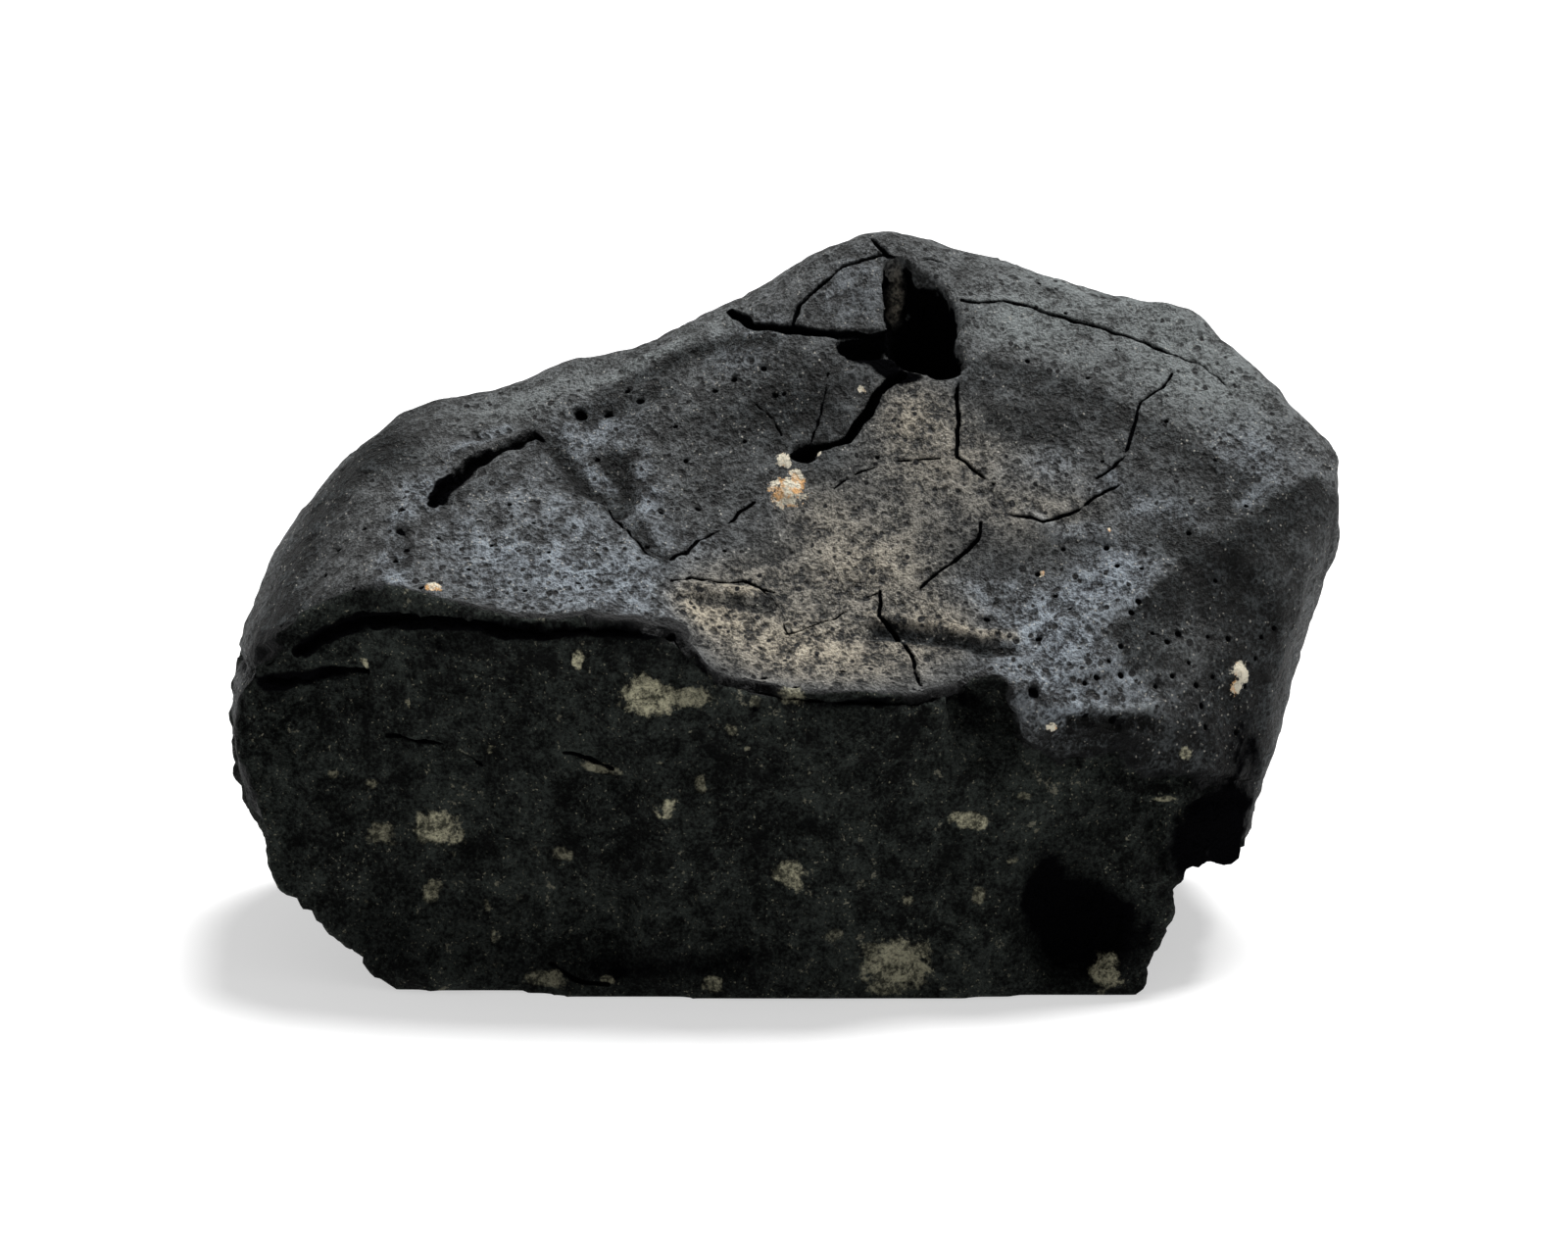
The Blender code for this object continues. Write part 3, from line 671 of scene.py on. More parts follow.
def inside_breaks(coords):
    """How far each vertex lies inside the nearest break, in mm."""
    drawn = coords / MM - np.array(DRAWING_SHIFT)
    front = inside_sheet(drawn, "front", FRONT_DENTS)
    heel = inside_sheet(drawn, "heel", HEEL_DENTS)
    over_ceiling = drawn[:, 2] - STEP_CORNER[1]
    beside_wall = STEP_CORNER[0] + over_ceiling * math.tan(STEP_LEAN) - drawn[:, 0]
    step = np.maximum(over_ceiling, beside_wall)
    base = coords[:, 2] / MM
    return np.minimum.reduce([front, heel, step, base])


inside = inside_breaks(vertex_array(stone.data))
print(round(100 * float((inside < ON_BREAK).mean())), "% of the vertices are on a break")

# %% [markdown]
# ## Carving
#
# First the landforms, then the relief that is wider than a face: the low lumps of the crust and
# the crumble of the breaks. Last the cracks and pits are pressed in. All of it moves the surface
# along its own normals, and fades out at the flat base, which has to stay flat.

# %% The landforms
SCARP_RUN = 0.28 * MM
BLOB_SPREAD, BLOB_SLOPE = 1.3, 1.25

coords = vertex_array(stone.data)
normals = normal_array(stone.data)
ragged = shaken(coords)
height = np.zeros(len(coords))
for width, tall, line in ridge_lines.values():
    gap, _, to_end = near_line(ragged, line, width)
    height += tall * smoothstep(1 - gap / width) * smoothstep(to_end / width)
for drop, width, line in scarp_lines.values():
    gap, side, to_end = near_line(ragged, line, width)
    low_side = smoothstep(0.5 + side * gap / SCARP_RUN) * (1 - smoothstep(gap / width))
    height -= drop * low_side * smoothstep(to_end / (0.5 * width))
for *shape, tall in BUMPS:
    radius = blob_radius(ragged, blob_frame(*shape))
    height += tall * smoothstep(BLOB_SLOPE * (1 - radius / BLOB_SPREAD))
print("landforms from", round(float(height.min()), 2), "to", round(float(height.max()), 2), "mm")

# %% [markdown]
# The picture doesn't show the back, the top's far side or the ends, so they are invented in the
# same manner: shallow thumbprints where the air melted the crust away, crossed by the far cracks.

# %% The hidden side
BACK_SWELLS = ((13.0, 0.80), (7.0, 0.45))
TURN_AWAY = 0.30

facing = normals @ np.array(TOWARDS_CAMERA)
unseen = 1 - smoothstep((facing + TURN_AWAY) / TURN_AWAY)
for layer, (size, tall) in enumerate(BACK_SWELLS):
    height += unseen * tall * noise_at(coords, size, Vector((2, 9, 5 * layer)))
print(round(100 * float((unseen > 0.5).mean())), "% of the vertices are out of sight")

# %% The lumps of the two surfaces
CRUST_LUMPS = ((7.0, 0.30), (3.4, 0.26), (1.7, 0.20), (1.0, 0.10))
BREAK_LUMPS = ((6.0, 0.60), (2.6, 0.50), (1.3, 0.28))
BREAK_EDGE, BREAK_FADE = 0.5, 0.4
CRUMBLE, CRUMBLE_SHIFT = 1.6, 0.4

broken = 1 - smoothstep((inside - BREAK_EDGE) / BREAK_FADE)
for layer, (size, tall) in enumerate(CRUST_LUMPS):
    lump = noise_at(ragged, size, Vector((0, 0, 11 * layer)))
    height += (1 - broken) * tall * lump
for layer, (size, tall) in enumerate(BREAK_LUMPS):
    lump = np.abs(noise_at(ragged, size, Vector((5, 7 * layer, 3))))
    height += broken * tall * (CRUMBLE * lump - CRUMBLE_SHIFT)

# %% Cracks and pits pressed in
WIDTH_CHANGE, WIDTH_NOISE, NARROWEST = 0.35, 2.0, 0.90
CRACK_LIP, HAIR, HAIR_EDGE = 0.07 * MM, 0.10 * MM, 0.02 * MM
END_WIDTH, END_TAPER = 0.7, 1.5 * MM
BASE_FADE = 1.5 * MM

width_noise = 1 + WIDTH_CHANGE * noise_at(coords, WIDTH_NOISE, Vector((8, 2, 5)))
crack_depth = np.zeros(len(coords))
crack_shade = np.full(len(coords), -1.0)
for half_width, depth, line in crack_lines.values():
    wide = half_width + CRACK_LIP
    gap, _, to_end = near_line(ragged, line, wide * 3)
    taper = width_noise * (END_WIDTH + (1 - END_WIDTH) * smoothstep(to_end / END_TAPER))
    crack_depth = np.maximum(crack_depth, depth / MM * smoothstep(1 - gap / (wide * taper)))
    shown = max(half_width + HAIR_EDGE, HAIR) * np.maximum(taper, NARROWEST)
    crack_shade = np.maximum(crack_shade, 1.0 - gap / shown)
pit_depth = np.zeros(len(coords))
pit_shade = np.full(len(coords), -1.0)
for middle, _, radius in pit_spots:
    gap = np.linalg.norm(coords - np.array(middle), axis=1) / radius
    pit_depth = np.maximum(pit_depth, PIT_DEPTH * radius / MM * smoothstep(1.25 - gap))
    pit_shade = np.maximum(pit_shade, 1.0 - gap)
height -= np.maximum(crack_depth, pit_depth)
height *= smoothstep(coords[:, 2] / BASE_FADE)
coords += normals * height[:, None] * MM
coords[:, 2] = np.maximum(coords[:, 2], 0)
stone.data.vertices.foreach_set("co", coords.ravel())
stone.data.update()
stone.data.calc_loop_triangles()
print(len(stone.data.loop_triangles), "triangles")
print("carved from", round(float(height.min()), 2), "to", round(float(height.max()), 2), "mm")

# %% [markdown]
# ## Fields for the finishes
#
# The finishes need to know where they are: on the crust or a break, in a pit, on an inclusion.
# Each of these is a smooth field that the mesh carries as an attribute. The material cuts the
# field at a level that fine noise moves up and down, so every edge is crisp and ragged.

# %% Inclusions and chips as fields
BLOCKY = 3.5


def blob_fields(blobs):
    """The depth inside the nearest blob, from 1 in its middle to 0 at its edge, and its value."""
    inner = np.full(len(coords), -1.0)
    value = np.zeros(len(coords))
    for blob, given in blobs:
        depth = 1 - blob_radius(coords, blob, BLOCKY)
        value = np.where(depth > inner, given, value)
        inner = np.maximum(inner, depth)
    return inner, value


pale, pale_strength = blob_fields(inclusion_blobs)
chip, orange = blob_fields(chip_blobs)
fields = {"inside": inside, "crack": crack_shade, "pit": pit_shade, "pale": pale,
          "pale_strength": pale_strength, "chip": chip, "orange": orange}

# %% Patches of the crust
PATCHES = {
    # field: rows of (pixel across, pixel down, half width, half height, turn, strength)
    "dust_and_painted_highlight": (
        (540, 560, 120, 80, 0, 0.9), (640, 600, 90, 36, -10, 0.9), (600, 440, 70, 40, 20, 0.7),
        (1060, 640, 70, 50, -20, 1.0), (1140, 590, 60, 46, 30, 1.0), (1080, 715, 60, 34, -8, 1.0),
        (1160, 700, 60, 34, 0, 0.6), (1100, 660, 80, 56, 0, 0.6), (1290, 470, 80, 50, -40, 0.5),
        (760, 350, 50, 30, 0, 0.5), (430, 500, 30, 24, 0, 0.9), (400, 590, 24, 36, 0, 0.8),
        (1000, 600, 46, 24, 0, 0.6), (870, 290, 50, 50, 0, 0.4), (690, 555, 60, 26, 20, 0.5),
        (650, 500, 40, 50, 20, 0.4), (1060, 480, 60, 26, 20, 0.5), (1190, 520, 60, 24, -20, 0.5),
        (1040, 690, 50, 40, 0, 0.6),
    ),
    "sand_and_painted_highlight": (
        (820, 660, 140, 46, -8, 1.0), (880, 580, 110, 60, 0, 0.7), (960, 470, 100, 70, 0, 0.5),
        (930, 420, 50, 40, 0, 0.6), (720, 620, 50, 26, 0, 0.9), (1050, 520, 90, 40, 20, 0.35),
        (760, 590, 70, 30, 0, 0.35), (950, 640, 60, 40, 0, 0.6), (840, 520, 50, 40, 0, 0.35),
    ),
    "smooth_and_painted_highlight": (
        (1130, 300, 190, 60, -15, 1.0), (1240, 390, 110, 70, -40, 1.0), (1040, 330, 60, 40, 0, 0.9),
        (1180, 650, 80, 50, 0, 0.5), (540, 405, 130, 26, 20, 0.7), (730, 330, 60, 20, 30, 0.6),
    ),
    # darker crust, together with painted shade on slopes and faces turned from the light
    "dark": (
        (820, 410, 90, 70, 20, 0.9), (740, 430, 90, 50, 0, 0.5), (320, 540, 76, 140, -20, 1.0),
        (400, 470, 60, 26, -35, 0.7), (1290, 640, 90, 150, 10, 1.0), (1070, 425, 90, 40, 12, 0.6),
        (1150, 775, 150, 34, -5, 1.0), (1240, 745, 80, 60, 0, 1.0), (730, 500, 60, 40, 0, 0.4),
        (1240, 845, 90, 60, 0, 1.0), (640, 490, 26, 40, 30, 0.7), (310, 640, 90, 36, 0, 1.0),
        (850, 480, 50, 40, 0, 0.3), (1230, 600, 50, 40, 0, 0.7), (990, 565, 60, 30, 0, 0.4),
        (250, 760, 60, 140, 0, 1.0), (1150, 470, 60, 30, 0, 0.4), (1200, 555, 60, 24, -30, 0.5),
        (480, 500, 60, 14, 30, 0.5), (1270, 800, 60, 80, 0, 1.0), (780, 560, 50, 24, 0, 0.4),
        (1160, 750, 110, 20, 0, 0.8), (365, 480, 50, 34, -40, 0.6), (1080, 550, 50, 20, 0, 0.4),
    ),
    "pitted": (
        (1150, 670, 140, 70, 0, 1.0), (1235, 690, 70, 80, 0, 1.0), (1180, 745, 120, 26, 0, 1.0),
        (1240, 470, 100, 90, 0, 0.3), (520, 530, 120, 90, 0, 0.7), (780, 385, 130, 50, 20, 0.8),
        (690, 470, 80, 70, 0, 0.8), (790, 650, 130, 50, 0, 0.5), (320, 560, 60, 110, 0, 0.8),
        (1070, 470, 90, 70, 0, 0.6), (600, 600, 240, 24, 0, 0.7), (600, 415, 60, 24, 0, 1.0),
    ),
    # painted black shade: the hole, the hollows under the lip and the block, the notch, and near the
    # base
    "painted_black_shade": (
        (872, 356, 44, 13, 0, 0.9), (898, 370, 34, 13, -25, 1.1), (925, 385, 26, 11, 0, 1.1),
        (905, 345, 30, 16, 0, 0.9), (910, 376, 22, 12, -25, 1.0), (972, 362, 26, 20, 20, 0.8),
        (948, 268, 30, 8, -15, 0.5), (998, 726, 50, 18, -42, 1.2), (1092, 945, 58, 82, 5, 1.2),
        (822, 463, 14, 9, 0, 1.2), (1232, 862, 70, 46, 0, 1.3), (1262, 836, 60, 64, 0, 0.62),
        (1280, 760, 46, 60, 10, 0.35), (1060, 900, 30, 40, 0, 0.7), (1150, 950, 60, 60, 0, 0.7),
        (560, 990, 200, 34, 0, 0.5), (740, 985, 160, 30, 0, 0.45), (395, 950, 60, 50, 0, 0.5),
        (1110, 850, 70, 34, 0, 0.5), (320, 696, 66, 10, 8, 1.0), (640, 660, 80, 14, 0, 0.5),
        (460, 660, 110, 14, 0, 0.5), (760, 935, 50, 50, 0, 0.35), (640, 900, 80, 30, 0, 0.35),
        (450, 890, 60, 20, 0, 0.4), (280, 700, 30, 14, 0, 1.0),
    ),
}
PATCH_SPREAD = 1.25


def soft_blob(shape):
    """1 in the middle of a blob, fading to 0 a little outside its edge."""
    return 1 - smoothstep(blob_radius(coords, blob_frame(*shape)) / PATCH_SPREAD)


def patch_field(rows):
    """The sum of soft patches, each strongest in its middle."""
    return np.clip(sum(strength * soft_blob(shape) for *shape, strength in rows), 0, 1)


fields.update({name: patch_field(rows) for name, rows in PATCHES.items()})

# %% Patches of the hidden side
BACK_PATCHES = {"dust_and_painted_highlight": 0.30, "dark": 0.85, "smooth_and_painted_highlight": 0.5, "pitted": 0.9, "sand_and_painted_highlight": 0.10}
BACK_SHADE = 0.35
DRIFT_SIZE, FINE_DRIFT_SIZE, FINE_DRIFT = 15.0, 4.0, 0.5
DRIFT_SHIFT, DRIFT_SWING = 0.2, 1.6

for layer, (name, strength) in enumerate(BACK_PATCHES.items()):
    drift = noise_at(coords, DRIFT_SIZE, Vector((31, 17, 9 * layer)))
    drift += FINE_DRIFT * noise_at(ragged, FINE_DRIFT_SIZE, Vector((layer, 0, 0)))
    patch = unseen * strength * smoothstep(DRIFT_SHIFT + DRIFT_SWING * drift)
    fields[name] = np.clip(fields[name] + patch, 0, 1)
fields["dark"] = np.clip(fields["dark"] + BACK_SHADE * unseen, 0, 1)

# %% [markdown]
# ## Shade beside the edges, light on the crests
#
# Shade is painted beside each edge and into each groove, and a highlight is painted along each crest.
# Each is a line that follows a landform, so it is drawn along the same route. Under the ledges the gap
# is painted black, as shadow.

# %% Shaded and lit lines
SHADED_SIDES = {
    # name: (how far it reaches in pixels, strength, route); the shade is on the right hand
    "shoulder": (120, 1.0, ((1120, 655), (1148, 634), (1180, 600), (1215, 572), (1250, 548),
        (1300, 512), (1345, 480))),
    "plateau": (95, 0.75, ((986, 366), (1040, 372), (1090, 384), (1130, 402), (1200, 440), (1270, 482),
        (1330, 506))),
    "patch_valley": (34, 0.7, ((556, 440), (580, 474), (606, 504), (636, 528))),
    "back_rim": (46, 0.7, ((600, 404), (640, 386), (690, 362), (742, 344), (790, 346))),
}
SHADE_RUN = 0.35 * MM
SHADED_LINES = {
    # name: (width in pixels, strength, route)
    "patch_groove": (15, 1.0, RIDGES["patch_groove"][2]),
    "patch_valley": (24, 1.0, RIDGES["patch_valley"][2]),
    "patch_tail": (14, 0.7, RIDGES["patch_tail"][2]),
    "basin_crease": (14, 0.7, RIDGES["basin_crease"][2]),
    "lip_groove": (15, 1.0, RIDGES["lip_groove"][2]),
    "low_groove": (13, 1.0, RIDGES["low_groove"][2]),
    "rim_pits": (28, 0.7, RIDGES["rim_pits"][2]),
    "slope_fold": (22, 0.7, RIDGES["slope_fold"][2]),
    "back_rim": (12, 0.9, ((640, 392), (690, 366), (742, 346), (800, 348))),
    "left_edge": (12, 0.8, ((404, 520), (410, 540), (412, 560), (406, 590))),
}
# Painted highlights along the crests, laid into the dust, sand and smooth fields
LIT_LINES = {
    # name: (field, width in pixels, strength, route)
    "hole_crest": ("smooth_and_painted_highlight", 18, 0.8, ((986, 322), (1004, 338), (1044, 350), (1092, 362), (1140, 380))),
    "shoulder_crest": ("dust_and_painted_highlight", 12, 0.55, ((1336, 466), (1300, 494), (1252, 530), (1212, 556),
        (1172, 584), (1140, 616), (1112, 640))),
    "ledge_top": ("dust_and_painted_highlight", 12, 0.5, ((424, 512), (440, 486), (470, 458), (500, 443), (530, 434))),
    "left_rim": ("dust_and_painted_highlight", 17, 1.0, ((432, 497), (412, 522), (404, 548), (394, 592))),
    "valley_left": ("dust_and_painted_highlight", 13, 0.8, ((566, 432), (590, 462), (612, 490), (636, 512))),
    "valley_right": ("dust_and_painted_highlight", 13, 0.8, ((650, 452), (660, 480), (664, 510), (650, 540))),
    "back_crest": ("smooth_and_painted_highlight", 12, 0.9, ((590, 398), (640, 378), (690, 354), (742, 336))),
    "lip_crest": ("sand_and_painted_highlight", 12, 0.9, ((872, 630), (920, 631), (960, 635), (1000, 649), (1045, 649))),
    "basin_crest": ("sand_and_painted_highlight", 14, 0.9, ((690, 594), (740, 600), (785, 604))),
    "band_crest": ("smooth_and_painted_highlight", 9, 0.7, ((1076, 720), (1125, 724), (1180, 721))),
    "plateau_crest": ("dust_and_painted_highlight", 15, 0.7, ((1044, 476), (1076, 492), (1110, 498), (1150, 486))),
    "middle_crest": ("dust_and_painted_highlight", 14, 0.6, ((1036, 520), (1080, 544), (1130, 540), (1186, 516))),
    "cracked_edge": ("smooth_and_painted_highlight", 8, 0.6, ((990, 300), (1060, 306), (1130, 324), (1196, 350))),
}
# Painted black shadow in the gaps under the ledges
PAINTED_SHADOW_LINES = {
    # name: (width in pixels, strength, route)
    "under_patch_ledge": (13, 0.8, CRACKS["under_patch_ledge"][2]),
    "under_slab": (13, 0.8, CRACKS["under_slab"][2]),
    "under_corner": (9, 0.5, CRACKS["under_corner"][2]),
}
HIGHLIGHT_BREAK_SIZE, HIGHLIGHT_BREAK_SHIFT, HIGHLIGHT_BREAK_SWING = 2.6, 0.65, 1.1


def shaded_side(reach, strength, route):
    """A painted shade that starts sharply at a route and fades on its right hand."""
    gap, side, to_end = near_line(ragged, route_points(route), reach * PIXEL)
    near = 1 - smoothstep(gap / (reach * PIXEL))
    return strength * near * smoothstep(0.5 + side * gap / SHADE_RUN) * smoothstep(to_end / MM)


def soft_line(width, strength, route):
    """A line that fades from the middle of its width to its edges, and at its ends."""
    gap, _, to_end = near_line(ragged, route_points(route), width * PIXEL)
    return strength * smoothstep(2 - 2 * gap / (width * PIXEL)) * smoothstep(to_end / MM)


for row in SHADED_SIDES.values():
    fields["dark"] = np.maximum(fields["dark"], shaded_side(*row))
for row in SHADED_LINES.values():
    fields["dark"] = np.maximum(fields["dark"], soft_line(*row))
# The painted shade beside the shoulder also clears the dust and its painted highlight there.
fields["dust_and_painted_highlight"] *= 1 - shaded_side(*SHADED_SIDES["shoulder"])
for name, width, strength, route in LIT_LINES.values():
    highlight_break = HIGHLIGHT_BREAK_SHIFT + HIGHLIGHT_BREAK_SWING * noise_at(coords, HIGHLIGHT_BREAK_SIZE, Vector((width, 4, 6)))
    light = soft_line(width, strength, route) * smoothstep(highlight_break)
    fields[name] = np.maximum(fields[name], light)
    fields["dark"] *= 1 - light
for row in PAINTED_SHADOW_LINES.values():
    fields["painted_black_shade"] = np.maximum(fields["painted_black_shade"], soft_line(*row))

# %% Where the crust laps over an edge, and the painted shade on its rim
CRUST_OVER_EDGE = (
    # (pixel across, pixel down, half width, half height, turn, how far it laps in mm)
    (1048, 718, 30, 24, -30, 2.0), (1105, 738, 95, 36, 8, 2.2), (1190, 770, 60, 26, 10, 1.6),
)
RIM_SHADE_BANDS = {"slab_edge": 22 * PIXEL, "corner_edge": 7 * PIXEL}

for *shape, extra in CRUST_OVER_EDGE:
    fields["inside"] += extra * soft_blob(shape)
fields["painted_rim_shade"] = np.maximum.reduce([1 - near_line(ragged, scarp_lines[name][2], band * 2)[0] / band
                                   for name, band in RIM_SHADE_BANDS.items()])

# %% [markdown]
# ## The hole's painted black shade
#
# Soft light alone leaves the deep hole in the peak grey, so shade is painted into it. Rays are sent out
# from each point near it. Where many of them meet stone again the point is closed in, and it is painted
# black as shade.

# %% The hole's painted black shade
CLOSED_SPOT, CLOSED_REACH, CLOSED_RAYS = (940, 400), 13 * MM, 24
RAY_START, RAY_LENGTH = 0.3 * MM, 7 * MM
CLOSED_NOISE, CLOSED_NOISE_SIZE = 0.14, 0.9
CLOSED_FROM, CLOSED_RUN = 0.30, 0.22
WALL = (916, 308, 14, 40, -8, 0.75)


def closed_in(points, ways):
    """The share of the rays from each point, within a half sphere over it, that meet stone."""
    carved = surface_tree(stone)
    turn = math.pi * (3 - math.sqrt(5))
    rays = []
    for n in range(CLOSED_RAYS):
        rise = (n + 0.5) / CLOSED_RAYS
        flat = math.sqrt(1 - rise * rise)
        rays.append(Vector((flat * math.cos(turn * n), flat * math.sin(turn * n), rise)))
    shares = []
    for point, way in zip(points, ways):
        spin = Vector((0, 0, 1)).rotation_difference(Vector(way))
        start = Vector(point) + Vector(way) * RAY_START
        met = sum(carved.ray_cast(start, spin @ ray, RAY_LENGTH)[0] is not None for ray in rays)
        shares.append(met / CLOSED_RAYS)
    return np.array(shares)


hole_middle = np.array(spot(*CLOSED_SPOT)[0])
by_hole = np.flatnonzero(np.linalg.norm(coords - hole_middle, axis=1) < CLOSED_REACH)
closed = closed_in(coords[by_hole], normal_array(stone.data)[by_hole])
closed += CLOSED_NOISE * noise_at(coords[by_hole], CLOSED_NOISE_SIZE, Vector((3, 3, 1)))
black = smoothstep((closed - CLOSED_FROM) / CLOSED_RUN)
fields["painted_black_shade"][by_hole] = np.maximum(fields["painted_black_shade"][by_hole], black)
print(len(by_hole), "vertices round the hole looked at")

# The hole's lit left wall is kept out of the painted black shade and takes the sand field's colour.
wall = patch_field([WALL])
fields["painted_black_shade"] -= wall
fields["sand_and_painted_highlight"] = np.maximum(fields["sand_and_painted_highlight"], wall)

# %% The fields go onto the mesh
for name, values in fields.items():
    attribute = stone.data.attributes.new(name, "FLOAT", "POINT")
    attribute.data.foreach_set("value", values.astype(np.float32))
print("fields:", ", ".join(fields))

# %% [markdown]
# ## The finish
#
# One material covers the stone, because the crust and the breaks run into each other. It mixes two
# looks: the crust, matt and dusty over a dark glassy skin, and the matrix, nearly black with fine pale
# specks. Shade and highlights are painted into both: black in the gaps, cracks and pits, darker crust
# in hollows and on faces turned from the light, paler crests. All its patterns read Object coordinates,
# so they belong to the stone.

# %% Helpers for nodes
DEPTH_STRETCH = 0.62  # the grains are longer in depth, as the top is seen at a slant

stone_material, stone_shader = shader_of("chondrite_crust_and_matrix")
nodes = stone_material.node_tree.nodes
links = stone_material.node_tree.links
stretch = nodes.new("ShaderNodeMapping")
stretch.inputs["Scale"].default_value = (1, DEPTH_STRETCH, 1)
links.new(nodes.new("ShaderNodeTexCoord").outputs["Object"], stretch.inputs["Vector"])
here = stretch.outputs["Vector"]


def feed(socket, value):
    """Joins a socket to an output, or sets it to a plain value."""
    if isinstance(value, bpy.types.NodeSocket):
        links.new(value, socket)
    else:
        socket.default_value = value


def maths(operation, a, b, clamp=False):
    made = nodes.new("ShaderNodeMath")
    made.operation = operation
    made.use_clamp = clamp
    feed(made.inputs[0], a)
    feed(made.inputs[1], b)
    return made.outputs[0]


def times(a, b):
    return maths("MULTIPLY", a, b)


def plus(a, b, clamp=False):
    return maths("ADD", a, b, clamp)


def swing(value, width):
    """A noise from 0 to 1 turned into a swing round 0, this wide."""
    return times(maths("SUBTRACT", value, 0.5), width)


def blend(*rows):
    """The sum of outputs, each times its share."""
    total = times(*rows[0])
    for value, share in rows[1:]:
        total = plus(total, times(value, share))
    return total


def field(name):
    made = nodes.new("ShaderNodeAttribute")
    made.attribute_name = name
    return made.outputs["Fac"]


def grain(size_mm, detail=2.0, roughness=0.5):
    """Noise whose lumps are about this many millimetres across."""
    made = nodes.new("ShaderNodeTexNoise")
    feed(made.inputs["Vector"], here)
    made.inputs["Scale"].default_value = 1 / (size_mm * MM)
    made.inputs["Detail"].default_value = detail
    made.inputs["Roughness"].default_value = roughness
    return made.outputs["Fac"]


def ramp(value, low, high, start=0.0, end=1.0):
    """Takes low..high to start..end, clamped and smooth."""
    made = nodes.new("ShaderNodeMapRange")
    made.interpolation_type = "SMOOTHSTEP"
    feed(made.inputs["Value"], value)
    for name, number in (("From Min", low), ("From Max", high), ("To Min", start), ("To Max", end)):
        made.inputs[name].default_value = number
    return made.outputs["Result"]


def mix(share, a, b):
    """Colour a, or colour b where the share is 1."""
    made = nodes.new("ShaderNodeMix")
    made.data_type = "RGBA"
    feed(made.inputs[0], share)
    feed(made.inputs[6], a)
    feed(made.inputs[7], b)
    return made.outputs[2]


def colour(r, g, b):
    return (r, g, b, 1.0)


# %% The crust's look
PALE = {
    "plain": colour(0.152, 0.160, 0.163), "dust_and_painted_highlight": colour(0.365, 0.415, 0.465),
    "sand_and_painted_highlight": colour(0.600, 0.530, 0.410), "smooth_and_painted_highlight": colour(0.245, 0.268, 0.268),
    "dark": colour(0.072, 0.080, 0.083),
}
LOW = {
    "plain": colour(0.014, 0.0148, 0.0145), "dust_and_painted_highlight": colour(0.012, 0.014, 0.019),
    "sand_and_painted_highlight": colour(0.010, 0.009, 0.007), "smooth_and_painted_highlight": colour(0.026, 0.028, 0.027),
    "dark": colour(0.004, 0.0043, 0.004),
}
COVER = {"smooth_and_painted_highlight": 0.09, "dust_and_painted_highlight": 0.03, "sand_and_painted_highlight": 0.03, "dark": -0.08}
GRIT_SWING, CRUST_EDGE = 0.75, (0.34, 0.70)
CLOUDY_DUST_AND_HIGHLIGHT = (0.34, 0.58, 0.35, 1.0)

# The crust is darker where the lumps and grit are low, and the same noises make the bump's height:
# painted shade in the hollows, over the crust's own mottling.
lumps = grain(1.5, 5.0, 0.72)
grit = grain(0.27, 3.0, 0.66)
clouds = grain(6.0, 4.0, 0.65)
high, low, cover = PALE["plain"], LOW["plain"], lumps
for zone, extra in COVER.items():
    share = field(zone)
    if zone == "dust_and_painted_highlight":
        share = times(share, ramp(clouds, *CLOUDY_DUST_AND_HIGHLIGHT))
    high, low = mix(share, high, PALE[zone]), mix(share, low, LOW[zone])
    cover = plus(cover, times(share, extra))
cover = plus(cover, swing(grit, GRIT_SWING))
crust = mix(ramp(cover, *CRUST_EDGE), low, high)

# %% The crust's fine pits in painted shade, and bright grains with painted glints
PIT_KINDS = {
    # name: (cell in mm, where the pit is full and where it ends in the cell, choice to pass)
    "small": (0.75, 0.15, 0.32, 0.45), "dent": (1.15, 0.14, 0.36, 0.47),
    "fine": (0.90, 0.15, 0.25, 0.50), "wide": (1.60, 0.13, 0.19, 0.50),
    "grain": (0.40, 0.12, 0.26, 0.52),
}
CHOICE_SIZE, DENSITY_SHARE, CHOICE_RUN = 2.2, 0.16, 0.07
BENT, BEND_SIZE = 0.16 * MM, 0.5 * MM
GRAIN_AND_GLINT_PALE = colour(0.62, 0.59, 0.52)
PAINTED_SHADE_BLACK = colour(0.0025, 0.0025, 0.003)

bend = nodes.new("ShaderNodeTexNoise")
bend.inputs["Scale"].default_value = 1 / BEND_SIZE
feed(bend.inputs["Vector"], here)
bent_by = nodes.new("ShaderNodeVectorMath")
bent_by.operation = "MULTIPLY_ADD"
feed(bent_by.inputs[0], bend.outputs["Color"])
bent_by.inputs[1].default_value = (2 * BENT,) * 3
feed(bent_by.inputs[2], here)


def pits_of(kind, density):
    """Ragged pits, one in each cell where the density allows it."""
    size, full, end, threshold = PIT_KINDS[kind]
    choice = plus(grain(size * CHOICE_SIZE), times(density, DENSITY_SHARE))
    cells = nodes.new("ShaderNodeTexVoronoi")
    feed(cells.inputs["Vector"], bent_by.outputs[0])
    cells.inputs["Scale"].default_value = 1 / (size * MM)
    found = ramp(cells.outputs["Distance"], full, end, 1.0, 0.0)
    return times(found, ramp(choice, threshold, threshold + CHOICE_RUN))


